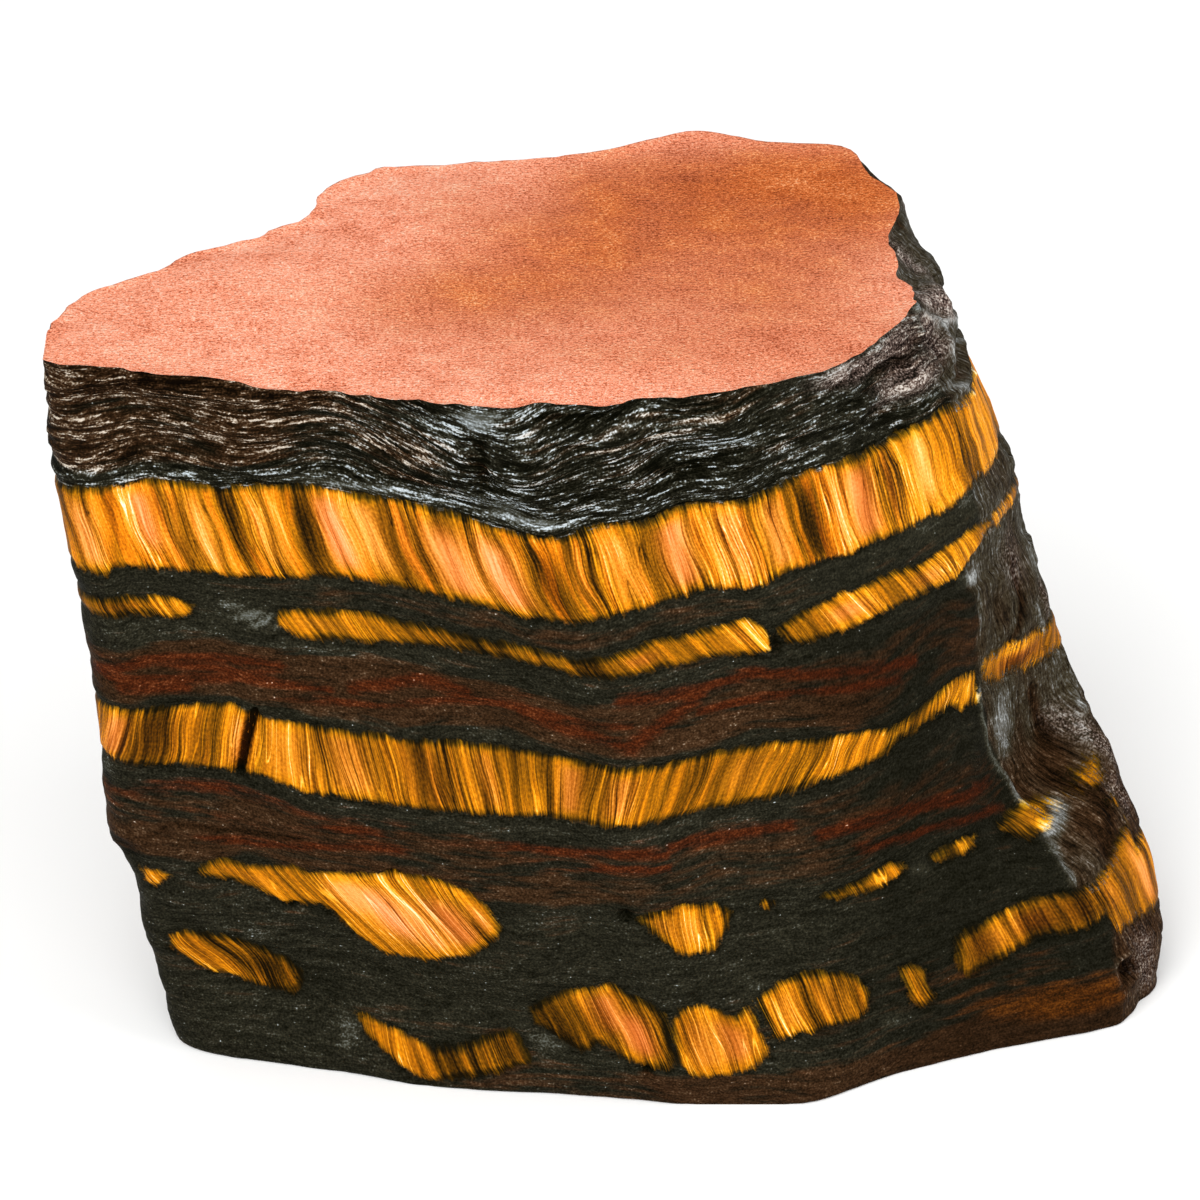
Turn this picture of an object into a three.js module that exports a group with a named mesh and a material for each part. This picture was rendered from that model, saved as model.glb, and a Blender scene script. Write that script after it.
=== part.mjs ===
// A rough block of tiger iron: one piece of banded ironstone, in millimetres, +Z up.
// It parts along its bedding above and below, so the top is a gently waved plane and the base is
// flat. The walls are old joint faces: two front faces meet in a blunt prow, the right end flares
// out towards the foot, and the left end has a notch low down. All beds lie level in the block.
import * as THREE from "three";

// Driving dimensions
const HEIGHT = 55; // base to top rim
const FOOT_RADIUS = 1.1; // the foot edge curves under by this much
const RIM_RADIUS = 0.5; // worn top edge
const TOP_WAVE = 0.45; // height of the waves on the top
const TOP_WAVE_SPAN = 12; // width of one of those waves

// Relief of the walls
const LUMP = 0.6; // height of the broad lumps
const LUMP_SPAN = 9; // their width
const KNOB = 0.3; // height of the smaller knobs on them
const KNOB_SPAN = 4.2; // their width
const LEDGE = 0.5; // how far hard beds stand proud of soft ones at the back
const LEDGE_SPAN = 12; // length over which a ledge comes and goes
const BED_STEP = 1.6; // height over which one bed's face passes into the next
const BED_WAVE = 1.3; // how far the beds rise and fall
const BED_WAVE_SPAN = 14; // length over which they do
const FRONT_SHARE = 0.25; // share of that relief left on the smoother front faces
const FOOT_FADE = 4; // the relief dies out over this height above the base

// Mesh
const COLUMNS = 104; // columns round the block
const ROW_STEP = 1.75; // height of one row on the walls
const CORNER_WEAR = 2; // passes of smoothing that round the upright edges
const RIM_WEAR = 0.45; // strength of each pass at the rim, where the edges stay sharper
const BASE_SHARES = [0.8, 0.55, 0.3, 0.1]; // rings of the base, as shares of the way to its middle
const TOP_SHARES = [0.03, 0.12, 0.26, 0.42, 0.6, 0.8]; // rings of the top, likewise

// The upright edges of the block, anticlockwise seen from above and starting at the left tip.
// Each is a line of [x, y, z] points from the top rim to the foot.
const EDGES = {
  left_tip: [
    [-37.9, -13.1, 55], [-37.7, -13.3, 52], [-37.0, -13.6, 45.5], [-36.2, -13.9, 39],
    [-35.3, -14.0, 35], [-34.7, -14.3, 25.5], [-34.6, -14.6, 18], [-33.0, -14.7, 15.2],
    [-32.8, -14.9, 8.4], [-31.6, -15.1, 2.5], [-30.6, -15.2, 0],
  ],
  left_quarter: [
    [-28.4, -15.1, 55], [-27.6, -15.4, 45], [-26.6, -16.0, 32], [-25.2, -16.4, 17],
    [-24.2, -15.7, 9], [-22.5, -16.6, 0],
  ],
  left_front: [
    [-19.5, -17.2, 55], [-18.3, -17.2, 45], [-17.2, -17.5, 32], [-15.6, -18.1, 17],
    [-14.6, -17.2, 8], [-12.9, -18.9, 0],
  ],
  prow_left: [
    [-13.2, -18.4, 55], [-10.6, -18.8, 45], [-8.2, -19.2, 32], [-5.0, -19.9, 17],
    [-2.0, -20.4, 0],
  ],
  prow: [
    [-7.4, -20.4, 55], [-4.1, -20.9, 45], [-0.7, -21.1, 39], [1.7, -21.3, 27],
    [4.2, -21.6, 17], [6.3, -21.9, 8.6], [9.6, -22.2, 0],
  ],
  prow_right: [
    [0.0, -19.5, 55], [2.6, -19.6, 45], [5.6, -19.8, 35], [8.6, -20.0, 24],
    [11.6, -20.5, 12], [15.6, -21.7, 0],
  ],
  right_front: [
    [8.7, -17.9, 55], [11.2, -17.7, 46], [14.4, -17.6, 35], [17.4, -17.5, 23],
    [19.7, -17.7, 12], [20.4, -18.4, 0],
  ],
  shoulder: [
    [16.3, -14.1, 55], [18.4, -13.2, 50], [19.8, -12.9, 43], [21.4, -13.2, 33],
    [23.9, -13.6, 20], [27.2, -14.4, 10], [29.6, -14.6, 0],
  ],
  right_corner: [
    [21.2, -5.3, 55], [24.6, -6.0, 50.5], [26.8, -6.6, 44], [27.4, -7.4, 38],
    [26.7, -8.2, 33], [27.0, -9.1, 26.5], [29.0, -9.9, 20.5], [32.6, -10.6, 14],
    [35.4, -11.2, 9.5], [37.6, -11.8, 3.7], [38.6, -12.2, 0],
  ],
  right_side: [
    [20.1, 0.8, 55], [23.8, 1.4, 52.4], [25.2, 1.6, 48.5], [28.5, 1.4, 41],
    [30.6, 0.4, 33], [33.6, -1.0, 25], [37.4, -2.2, 17], [40.4, -3.4, 9.5],
    [41.6, -4.8, 4.5], [40.6, -6.2, 0],
  ],
  right_back: [
    [20.5, 9.5, 55], [23.2, 9.0, 52], [25.6, 9.0, 43], [28.4, 8.2, 30],
    [33.2, 7.0, 16], [37.0, 5.2, 7], [36.8, 5.0, 0],
  ],
  back_right: [
    [20.2, 13.4, 55], [21.6, 14.0, 52], [22.4, 15.2, 38], [25.0, 15.6, 24],
    [30.2, 14.4, 10], [31.0, 13.6, 0],
  ],
  back_corner: [
    [17.4, 19.8, 55], [17.9, 20.4, 48], [18.4, 21.2, 33], [21.6, 21.4, 17], [24.2, 19.8, 0],
  ],
  back_notch: [
    [10.4, 19.4, 55], [11.2, 19.6, 46], [12.6, 20.6, 30], [14.6, 21.8, 15], [16.4, 21.0, 0],
  ],
  back_bulge: [
    [7.3, 22.6, 55], [7.8, 22.4, 49], [7.6, 20.9, 34], [8.8, 21.6, 18], [10.0, 20.6, 0],
  ],
  back_middle: [
    [-0.4, 18.7, 55], [-0.2, 19.6, 44], [0.8, 20.4, 28], [2.2, 19.2, 14], [3.0, 18.6, 0],
  ],
  back_left: [
    [-17.7, 15.6, 55], [-16.2, 16.4, 45], [-13.6, 16.4, 30], [-11.8, 17.4, 15],
    [-10.6, 16.4, 0],
  ],
  back_step: [
    [-21.5, 7.8, 55], [-20.6, 10.2, 46], [-19.6, 11.2, 31], [-18.6, 12.6, 16],
    [-18.0, 11.8, 0],
  ],
  left_back: [
    [-28.6, 1.8, 55], [-28.4, 2.6, 44], [-28.6, 3.8, 30], [-27.4, 4.6, 15], [-25.6, 4.4, 0],
  ],
  left_side: [
    [-34.9, -3.5, 55], [-34.4, -3.0, 44], [-33.0, -2.2, 30], [-32.2, -2.6, 15],
    [-29.4, -3.2, 0],
  ],
  left_tip_back: [
    [-37.7, -8.8, 55], [-36.9, -8.8, 45], [-35.2, -8.6, 32], [-34.4, -8.8, 17.5],
    [-33.0, -9.2, 14.5], [-32.2, -9.4, 7], [-30.8, -9.6, 0],
  ],
};

// Beds from the base up: where each ends, and how far it stands proud (1) or back (-1).
const BEDS = [
  { top: 4, proud: 0.6 },
  { top: 10, proud: -0.6 },
  { top: 14, proud: 0.6 },
  { top: 18, proud: -0.5 },
  { top: 22.5, proud: 0.7 },
  { top: 27.5, proud: -0.7 },
  { top: 34, proud: 0.6 },
  { top: 36.5, proud: -0.4 },
  { top: 39, proud: 0.6 },
  { top: 46, proud: -0.8 },
  { top: 60, proud: 0.8 },
];

// Flat chips: a point on the chip, the way it faces, and how far it reaches before it fades out.
const CHIPS = {
  prow_crown: { at: [-7.2, -19.6, 54.2], faces: [-0.05, -0.78, 0.62], reach: 7 },
  left_foot: { at: [-29.4, -15.3, 6], faces: [-0.42, -0.9, -0.12], reach: 9 },
  right_corner_foot: { at: [38.9, -9.8, 3], faces: [0.86, -0.5, -0.1], reach: 7 },
  right_side_flake: { at: [28.6, -7.4, 24], faces: [0.86, -0.5, 0.06], reach: 8 },
  back_shoulder: { at: [14.4, 21.2, 43], faces: [0.16, 0.96, 0.2], reach: 8 },
  back_flake: { at: [-6, 18.4, 26], faces: [-0.16, 0.98, 0.08], reach: 11 },
  back_foot: { at: [22, 20.2, 5], faces: [0.36, 0.9, -0.24], reach: 9 },
  left_back_flake: { at: [-24.6, 7.6, 22], faces: [-0.62, 0.78, 0.05], reach: 10 },
  left_back_crown: { at: [-24.6, 6.4, 46], faces: [-0.6, 0.76, 0.24], reach: 6 },
};
const CHIP_FADE = 1.5; // a chip is gone at this many times its reach

// Hollows: rounded scoops left by broken-out flakes.
const HOLLOWS = {
  right_shoulder: { at: [20.6, -11.8, 50.2], radius: 3.6, depth: 1.5 },
  right_crown: { at: [24.2, 4.6, 51.5], radius: 4, depth: 0.8 },
  left_foot: { at: [-24.6, -16.4, 6.5], radius: 6, depth: 1.0 },
  right_side: { at: [29.6, -5.6, 23], radius: 6.5, depth: 0.9 },
  back_high: { at: [-8.4, 17.6, 41], radius: 7.5, depth: 1.1 },
  back_right_low: { at: [29.2, 15.2, 17], radius: 6, depth: 1.0 },
  left_end: { at: [-34.6, -6.8, 27], radius: 5.5, depth: 0.8 },
};

const { clamp, lerp, smoothstep } = THREE.MathUtils;

// A repeatable number from -1 to 1 for each point of a lattice.
function latticeValue(ix, iy, iz) {
  let h = Math.imul(ix, 374761393) + Math.imul(iy, 668265263) + Math.imul(iz, 1274126177);
  h = Math.imul(h ^ (h >>> 13), 1274126177);
  return ((h ^ (h >>> 16)) >>> 0) / 2147483648 - 1;
}

// Smooth noise from -1 to 1: the lattice values blended between the eight corners of a cell.
function noise(x, y, z) {
  const [ix, iy, iz] = [x, y, z].map(Math.floor);
  const ease = (t) => t * t * (3 - 2 * t);
  const [fx, fy, fz] = [ease(x - ix), ease(y - iy), ease(z - iz)];
  const along = (j, k) => lerp(latticeValue(ix, j, k), latticeValue(ix + 1, j, k), fx);
  const layer = (k) => lerp(along(iy, k), along(iy + 1, k), fy);
  return lerp(layer(iz), layer(iz + 1), fz);
}

// The point of an edge line at height z.
function edgePoint(line, z) {
  const below = line.findIndex((point) => point[2] <= z);
  const low = line[Math.max(below, 1)];
  const high = line[Math.max(below, 1) - 1];
  const t = clamp((z - low[2]) / (high[2] - low[2]), 0, 1);
  return new THREE.Vector2(lerp(low[0], high[0], t), lerp(low[1], high[1], t));
}

// How many mesh columns lie between each edge and the next, by the width of the face between them.
function columnsPerFace(lines) {
  const corners = lines.map((line) => edgePoint(line, HEIGHT / 2));
  const widths = corners.map((corner, i) =>
    corner.distanceTo(corners[(i + 1) % corners.length]),
  );
  const girth = widths.reduce((sum, width) => sum + width, 0);
  let placed = 0;
  let passed = 0;
  return widths.map((width) => {
    passed += width;
    const count = Math.max(1, Math.round((passed / girth) * COLUMNS) - placed);
    placed += count;
    return count;
  });
}

// The outline at height z as a closed ring of points, with its upright edges worn round.
function outline(lines, counts, z) {
  let ring = [];
  lines.forEach((line, i) => {
    const from = edgePoint(line, z);
    const to = edgePoint(lines[(i + 1) % lines.length], z);
    for (let k = 0; k < counts[i]; k++) ring.push(from.clone().lerp(to, k / counts[i]));
  });
  const strength = lerp(1, RIM_WEAR, smoothstep(z, HEIGHT * 0.7, HEIGHT));
  for (let pass = 0; pass < CORNER_WEAR; pass++) {
    ring = ring.map((point, i) => {
      const before = ring[(i + ring.length - 1) % ring.length];
      const after = ring[(i + 1) % ring.length];
      const between = before.clone().add(after).multiplyScalar(0.5);
      return point.clone().lerp(between, strength / 2);
    });
  }
  return ring;
}

// How far the beds at height z stand proud of the wall; each ledge comes and goes along the wall.
function ledge(x, y, z) {
  const level = z + BED_WAVE * noise(x / BED_WAVE_SPAN, y / BED_WAVE_SPAN, 3);
  const index = BEDS.findIndex((bed) => level < bed.top);
  const [bed, above] = [BEDS[index], BEDS[Math.min(index + 1, BEDS.length - 1)]];
  const standing = ({ top, proud }) =>
    proud * (0.5 + 0.7 * noise(x / LEDGE_SPAN, y / LEDGE_SPAN, top));
  return lerp(standing(bed), standing(above), smoothstep(level, bed.top - BED_STEP, bed.top));
}

// How far the wall stands proud of its outline, from its beds, lumps and knobs.
function relief(x, y, z) {
  const lumps = LUMP * noise(x / LUMP_SPAN, y / LUMP_SPAN, z / LUMP_SPAN);
  const knobs = KNOB * noise(x / KNOB_SPAN, y / KNOB_SPAN, 9 + (1.4 * z) / KNOB_SPAN);
  const towardsBack = smoothstep(y + 0.2 * x, -12, 4);
  const share = lerp(FRONT_SHARE, 1, towardsBack) * smoothstep(z, 0, FOOT_FADE);
  return share * (lumps + knobs + LEDGE * ledge(x, y, z));
}

// The outward direction of a ring at point i, level with the ground.
function outward(ring, i) {
  const before = ring[(i + ring.length - 1) % ring.length];
  const after = ring[(i + 1) % ring.length];
  return new THREE.Vector2(after.y - before.y, before.x - after.x).normalize();
}

// One level ring of wall vertices; inset draws it in, as the rim and the foot need.
function wallRing(lines, counts, z, inset) {
  const ring = outline(lines, counts, z);
  return ring.map((point, i) => {
    const out = outward(ring, i);
    const proud = relief(point.x, point.y, z) - inset;
    return new THREE.Vector3(point.x + out.x * proud, point.y + out.y * proud, z);
  });
}

// A ring drawn towards the middle of its bed, for the top and the base.
function capRing(rim, share, heightAt) {
  const middle = middleOf(rim);
  return rim.map((point) => {
    const moved = point.clone().lerp(middle, share);
    moved.z = heightAt(moved.x, moved.y, share);
    return moved;
  });
}

// Cuts a vertex back to a chip's plane, less and less towards the end of the chip's reach.
function chip(vertex, { at, faces, reach }) {
  const centre = new THREE.Vector3(...at);
  const normal = new THREE.Vector3(...faces).normalize();
  const away = vertex.distanceTo(centre);
  const beyond = vertex.clone().sub(centre).dot(normal);
  if (beyond <= 0) return;
  vertex.addScaledVector(normal, -beyond * (1 - smoothstep(away, reach, reach * CHIP_FADE)));
}

// Presses a vertex in towards the block's upright middle where a hollow is.
function scoop(vertex, { at, radius, depth }) {
  const away = vertex.distanceTo(new THREE.Vector3(...at)) / radius;
  if (away >= 1) return;
  const inward = new THREE.Vector3(-vertex.x, -vertex.y, 0).normalize();
  vertex.addScaledVector(inward, depth * (1 - away * away) ** 2);
}

// All rings of the block, from the middle of the base, up the wall, to the middle of the top.
function blockRings() {
  const lines = Object.values(EDGES);
  const counts = columnsPerFace(lines);
  const onBase = () => 0;
  const onTop = (x, y, share) => {
    const wave = 0.4 + noise(x / TOP_WAVE_SPAN, y / TOP_WAVE_SPAN, 5);
    return HEIGHT + TOP_WAVE * wave * smoothstep(share, 0, 0.25);
  };

  const foot = wallRing(lines, counts, 0, FOOT_RADIUS);
  const rings = BASE_SHARES.map((share) => capRing(foot, share, onBase));
  rings.push(foot, wallRing(lines, counts, FOOT_RADIUS * 0.3, FOOT_RADIUS * 0.3));

  const wallHeight = HEIGHT - RIM_RADIUS - FOOT_RADIUS;
  const steps = Math.round(wallHeight / ROW_STEP);
  for (let row = 0; row <= steps; row++) {
    rings.push(wallRing(lines, counts, FOOT_RADIUS + (wallHeight * row) / steps, 0));
  }

  const rim = wallRing(lines, counts, HEIGHT, RIM_RADIUS * 0.5);
  rings.push(rim, ...TOP_SHARES.map((share) => capRing(rim, share, onTop)));

  rings.flat().forEach((vertex) => {
    const resting = vertex.z === 0;
    Object.values(CHIPS).forEach((cut) => chip(vertex, cut));
    Object.values(HOLLOWS).forEach((hollow) => scoop(vertex, hollow));
    vertex.z = resting ? 0 : Math.max(vertex.z, 0);
  });
  return rings;
}

// The middle of a ring.
function middleOf(ring) {
  const middle = new THREE.Vector3();
  ring.forEach((point) => middle.addScaledVector(point, 1 / ring.length));
  return middle;
}

// The closed surface over the rings, with a point in the middle of the base and of the top.
function blockGeometry(rings) {
  const vertices = rings.flat();
  const baseMiddle = vertices.push(middleOf(rings[0])) - 1;
  const topMiddle = vertices.push(middleOf(rings[rings.length - 1])) - 1;

  const width = rings[0].length;
  const at = (row, column) => row * width + (column % width);
  const faces = [];
  for (let column = 0; column < width; column++) {
    faces.push(baseMiddle, at(0, column + 1), at(0, column));
    faces.push(topMiddle, at(rings.length - 1, column), at(rings.length - 1, column + 1));
    for (let row = 0; row + 1 < rings.length; row++) {
      const [a, b] = [at(row, column), at(row, column + 1)];
      const [c, d] = [at(row + 1, column + 1), at(row + 1, column)];
      faces.push(a, b, c, a, c, d);
    }
  }
  const geometry = new THREE.BufferGeometry().setFromPoints(vertices);
  geometry.setIndex(faces);
  return geometry;
}

const stone = new THREE.Mesh(
  blockGeometry(blockRings()),
  new THREE.MeshStandardMaterial({ color: 0x3a3430, roughness: 0.55, metalness: 0.1 }),
);
stone.name = "tiger_iron";

// The origin is the middle of the block's bounding box, at the height of the base.
stone.geometry.computeBoundingBox();
const box = stone.geometry.boundingBox;
stone.position.set(-(box.min.x + box.max.x) / 2, -(box.min.y + box.max.y) / 2, 0);
stone.geometry.computeVertexNormals();

const part = new THREE.Group();
part.add(stone);

export default part;
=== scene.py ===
import itertools
import math

import bpy
import numpy as np
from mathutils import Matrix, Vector
from mathutils.bvhtree import BVHTree


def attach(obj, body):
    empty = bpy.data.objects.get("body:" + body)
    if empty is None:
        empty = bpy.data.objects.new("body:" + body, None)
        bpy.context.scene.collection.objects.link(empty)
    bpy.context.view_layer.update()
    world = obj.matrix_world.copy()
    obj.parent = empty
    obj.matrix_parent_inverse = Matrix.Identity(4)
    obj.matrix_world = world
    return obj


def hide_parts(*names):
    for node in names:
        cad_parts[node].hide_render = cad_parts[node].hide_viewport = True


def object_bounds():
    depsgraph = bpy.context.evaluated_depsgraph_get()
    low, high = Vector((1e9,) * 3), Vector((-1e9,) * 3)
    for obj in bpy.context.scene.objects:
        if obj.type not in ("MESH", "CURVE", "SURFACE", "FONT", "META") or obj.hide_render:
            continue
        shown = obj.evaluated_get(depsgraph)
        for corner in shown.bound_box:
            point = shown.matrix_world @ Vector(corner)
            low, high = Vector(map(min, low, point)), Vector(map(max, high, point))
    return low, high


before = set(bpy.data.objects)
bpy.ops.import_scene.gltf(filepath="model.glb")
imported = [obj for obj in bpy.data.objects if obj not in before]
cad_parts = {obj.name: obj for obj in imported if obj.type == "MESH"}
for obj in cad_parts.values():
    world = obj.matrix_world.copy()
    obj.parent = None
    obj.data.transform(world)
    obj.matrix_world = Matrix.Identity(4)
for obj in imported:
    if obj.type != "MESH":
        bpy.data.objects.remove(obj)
cad_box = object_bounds()

# Everything is worked out in millimetres and made in metres. A place on the wall is u, its distance
# round the block, and z, its height; a bed's level is its height with the seams' bends taken out.
MM = 0.001
NODE = "tiger_iron"
TINY = 1e-12

# ---------------------------------------------------------------- the photograph's view
PHOTO = 1200  # pixels across the photograph; every pixel below is in its frame
PX_PER_MM = 13.95  # at the camera's target
DISTANCE = 480.0
FOCAL = PX_PER_MM * DISTANCE  # in pixels
ELEVATION = math.radians(30)
TARGET = np.array([-1.55, 0.45, 28.12])
SENSOR = 36.0
NEAREST_STEPS = 6  # towards the place on the stone nearest to a ray
RIGHT = np.array([1.0, 0.0, 0.0])
UP = np.array([0.0, math.sin(ELEVATION), math.cos(ELEVATION)])
BACK = np.array([0.0, -math.cos(ELEVATION), math.sin(ELEVATION)])
EYE = TARGET + DISTANCE * BACK

# ---------------------------------------------------------------- the mesh
HEIGHT = 55.0  # base to top rim
AXIS_TOP = np.array([-9.5, 0.5])  # the block's leaning middle line at the top
AXIS_FOOT = np.array([3.5, -0.5])  # and at the foot
LOWEST_TOP = 54.5  # the solid's top is nowhere lower
LOWEST_CAST, HIGHEST_CAST = 1.2, 54.4  # beyond these heights the wall keeps its outline
RIM_INSET = 0.7  # how far inside the wall the rim's height is measured
SMOOTHING = 3  # passes that take the solid's facets out
WRAP_ANGLE = 118.0  # where the columns start and end, on the back
DIRECTIONS = 1441  # in which the girth is measured
# Distance between columns, at places round the block: close together where the camera looks.
COLUMN_STEPS = [(0, 0.8), (26, 0.8), (32, 0.37), (94, 0.37), (98, 0.27), (121, 0.27), (126, 0.42),
                (136, 0.8)]
# Heights of the rows: close together at the foot and the rim, where the stone is worn round.
FOOT_ROWS = [0.0, 0.06, 0.15, 0.3, 0.55, 0.85, 1.15]
RIM_ROWS = [54.1, 54.4, 54.6, 54.75, 54.88, 54.96]
ROWS = np.array([*FOOT_ROWS, *np.arange(1.5, 38.4, 0.37), *np.arange(38.4, 53.9, 0.27), *RIM_ROWS])
# How far in from the edge the rings of the top and the base are, as shares of the way to the middle.
TOP_SHARES = [0.004, 0.012, 0.025, 0.045, *np.linspace(0.07, 0.97, 27)]
BASE_SHARES = [0.02, 0.1, 0.3, 0.6, 0.85]


# ---------------------------------------------------------------- seeded noise
PRIMES = [np.uint32(number) for number in (374761393, 668265263, 1274126177)]
SEED_STEP = 40503


def lattice(ix, iy, iz, seed):
    """A repeatable number from -1 to 1 for each lattice point."""
    with np.errstate(over="ignore"):
        h = ix * PRIMES[0] + iy * PRIMES[1] + iz * PRIMES[2]
        h = (h ^ np.uint32(seed * SEED_STEP)) * PRIMES[2]
        h = (h ^ (h >> np.uint32(13))) * PRIMES[2]
        h = h ^ (h >> np.uint32(16))
    return h.astype(np.float64) / 2.0**31 - 1.0


def noise(x, y, z, seed):
    """Smooth noise from -1 to 1, with a seed of its own for each use."""
    place = np.broadcast_arrays(x, y, z)
    cell = [np.floor(a) for a in place]
    part = [a - c for a, c in zip(place, cell)]
    index = [c.astype(np.int64).astype(np.uint32) for c in cell]
    fade = [t * t * t * (t * (t * 6 - 15) + 10) for t in part]
    total = np.zeros(place[0].shape)
    for steps in itertools.product((0, 1), repeat=3):
        wx, wy, wz = [f if step else 1 - f for f, step in zip(fade, steps)]
        total += wx * wy * wz * lattice(*[i + np.uint32(step) for i, step in zip(index, steps)], seed)
    return total


def layered(x, y, z, seed, octaves):
    """Noise with finer and finer noise on it, from about -1 to 1."""
    total = 0.0
    for octave in range(octaves):
        k = 2.03**octave
        total = total + 0.5**octave * noise(x * k, y * k, z * k, seed + octave)
    return total / 1.75


def smoothstep(low, high, value):
    """0 to 1 as value goes from low to high, which may be the lower of the two."""
    t = np.clip((value - low) / (high - low), 0.0, 1.0)
    return t * t * (3 - 2 * t)


def stretch(value, start, full, fade, gone):
    """1 from full to fade, 0 before start and after gone."""
    return smoothstep(start, full, value) * smoothstep(gone, fade, value)


def curve(value, points):
    """The height at value of straight lines through points."""
    return np.interp(value, *np.array(points, float).T)


# ---------------------------------------------------------------- the solid, and rays on it
def solid_tree():
    """A search tree over the CAD solid, in millimetres."""
    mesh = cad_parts[NODE].data
    points = [v.co / MM for v in mesh.vertices]
    return BVHTree.FromPolygons(points, [tuple(p.vertices) for p in mesh.polygons])


TREE = solid_tree()


def middle_line(z):
    """The block's leaning middle line at heights z, as x and y."""
    t = np.asarray(z)[..., None] / HEIGHT
    return AXIS_TOP * t + AXIS_FOOT * (1 - t)


def wall_radius(angle, z):
    """How far the wall is from the middle line at height z, in direction angle (degrees)."""
    a = math.radians(angle)
    x, y = middle_line(z)
    hit = TREE.ray_cast(Vector((x, y, z)), Vector((math.cos(a), math.sin(a), 0)))
    return hit[3] if hit[0] is not None else 0.0


def height_of_top(x, y):
    """The height of the solid's top at x, y."""
    hit = TREE.ray_cast(Vector((x, y, HEIGHT + 10)), Vector((0, 0, -1)))
    return hit[0].z if hit[0] is not None else HEIGHT


def on_stone(pixels):
    """Where the camera's ray through each pixel of the photograph meets the stone, or passes it."""
    found = []
    for px, py in pixels:
        ray = -BACK + RIGHT * (px - PHOTO / 2) / FOCAL - UP * (py - PHOTO / 2) / FOCAL
        ray = ray / np.linalg.norm(ray)
        hit = TREE.ray_cast(Vector(EYE), Vector(ray))[0]
        along = DISTANCE
        for _ in range(NEAREST_STEPS if hit is None else 0):
            near = TREE.find_nearest(Vector(EYE + along * ray))[0]
            along = float((np.array(near) - EYE) @ ray)
        found.append(np.array(near if hit is None else hit))
    return np.array(found)


# ---------------------------------------------------------------- columns and rows
def column_angles():
    """Directions of the columns and their distances round the block at half its height, how far round
    it is in all, and the same for many directions in between."""
    dense = np.linspace(WRAP_ANGLE, WRAP_ANGLE + 360, DIRECTIONS)
    radius = np.array([wall_radius(a, HEIGHT / 2) for a in dense])
    x, y = radius * np.cos(np.radians(dense)), radius * np.sin(np.radians(dense))
    steps = np.hypot(np.diff(x), np.diff(y))
    girth = np.concatenate([[0], np.cumsum(steps)])
    weight = np.concatenate([[0], np.cumsum(steps / curve(girth[1:], COLUMN_STEPS))])
    count = int(round(weight[-1]))
    places = np.arange(count) * weight[-1] / count
    return np.interp(places, weight, dense), np.interp(places, weight, girth), girth[-1], dense, girth


ANGLES, ROUND, GIRTH, DENSE_ANGLES, DENSE_GIRTH = column_angles()
COLUMNS = len(ANGLES)
FRONT_MIDDLE = 80.0


def from_front(u, start=FRONT_MIDDLE):
    """Distance round the block, but places left of start count on past the columns' join."""
    return np.where(u < start, u + GIRTH, u)


def evened(grid):
    """A grid averaged with the columns beside; the columns close on themselves."""
    return (np.roll(grid, 1, -1) + 2 * grid + np.roll(grid, -1, -1)) / 4


def smooth_grid(grid):
    """Evens a rows by columns grid out, but not its first and last row."""
    for _ in range(SMOOTHING):
        grid = evened(grid)
        inner = (grid[:-2] + 2 * grid[1:-1] + grid[2:]) / 4
        grid = np.concatenate([grid[:1], inner, grid[-1:]])
    return grid


def wall_grid():
    """The wall as rows by columns of points, smoothed, before any detail."""
    cast = [[wall_radius(a, min(max(z, LOWEST_CAST), HIGHEST_CAST)) for a in ANGLES] for z in ROWS]
    radius = smooth_grid(np.array(cast))
    a = np.radians(ANGLES)
    around = np.stack([np.cos(a), np.sin(a)], 1)
    flat = middle_line(ROWS)[:, None, :] + radius[..., None] * around
    z = np.broadcast_to(ROWS[:, None, None], radius.shape + (1,))
    points = np.concatenate([flat, z], 2)
    # the wall's upper part is stretched, to end at the height of the solid's rim
    inset = middle_line(HIGHEST_CAST) + (radius[-1] - RIM_INSET)[:, None] * around
    rim = np.minimum([height_of_top(*place) for place in inset], HEIGHT)
    points[..., 2] *= 1 + (rim / HEIGHT - 1) * smoothstep(40, 54, points[..., 2])
    return points


def outward(points):
    """Unit normals of the wall grid, facing out."""
    across = np.roll(points, -1, 1) - np.roll(points, 1, 1)
    normal = np.cross(across, np.gradient(points, axis=0))
    return normal / np.linalg.norm(normal, axis=2, keepdims=True)


def unrolled(pixels):
    """Pixels of the photograph as places on the wall: distance round the block and height."""
    points = on_stone(pixels)
    flat = points[:, :2] - middle_line(points[:, 2])
    angle = np.degrees(np.arctan2(flat[:, 1], flat[:, 0]))
    angle = (angle - WRAP_ANGLE) % 360 + WRAP_ANGLE
    return np.stack([np.interp(angle, DENSE_ANGLES, DENSE_GIRTH), points[:, 2]], 1)


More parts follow.
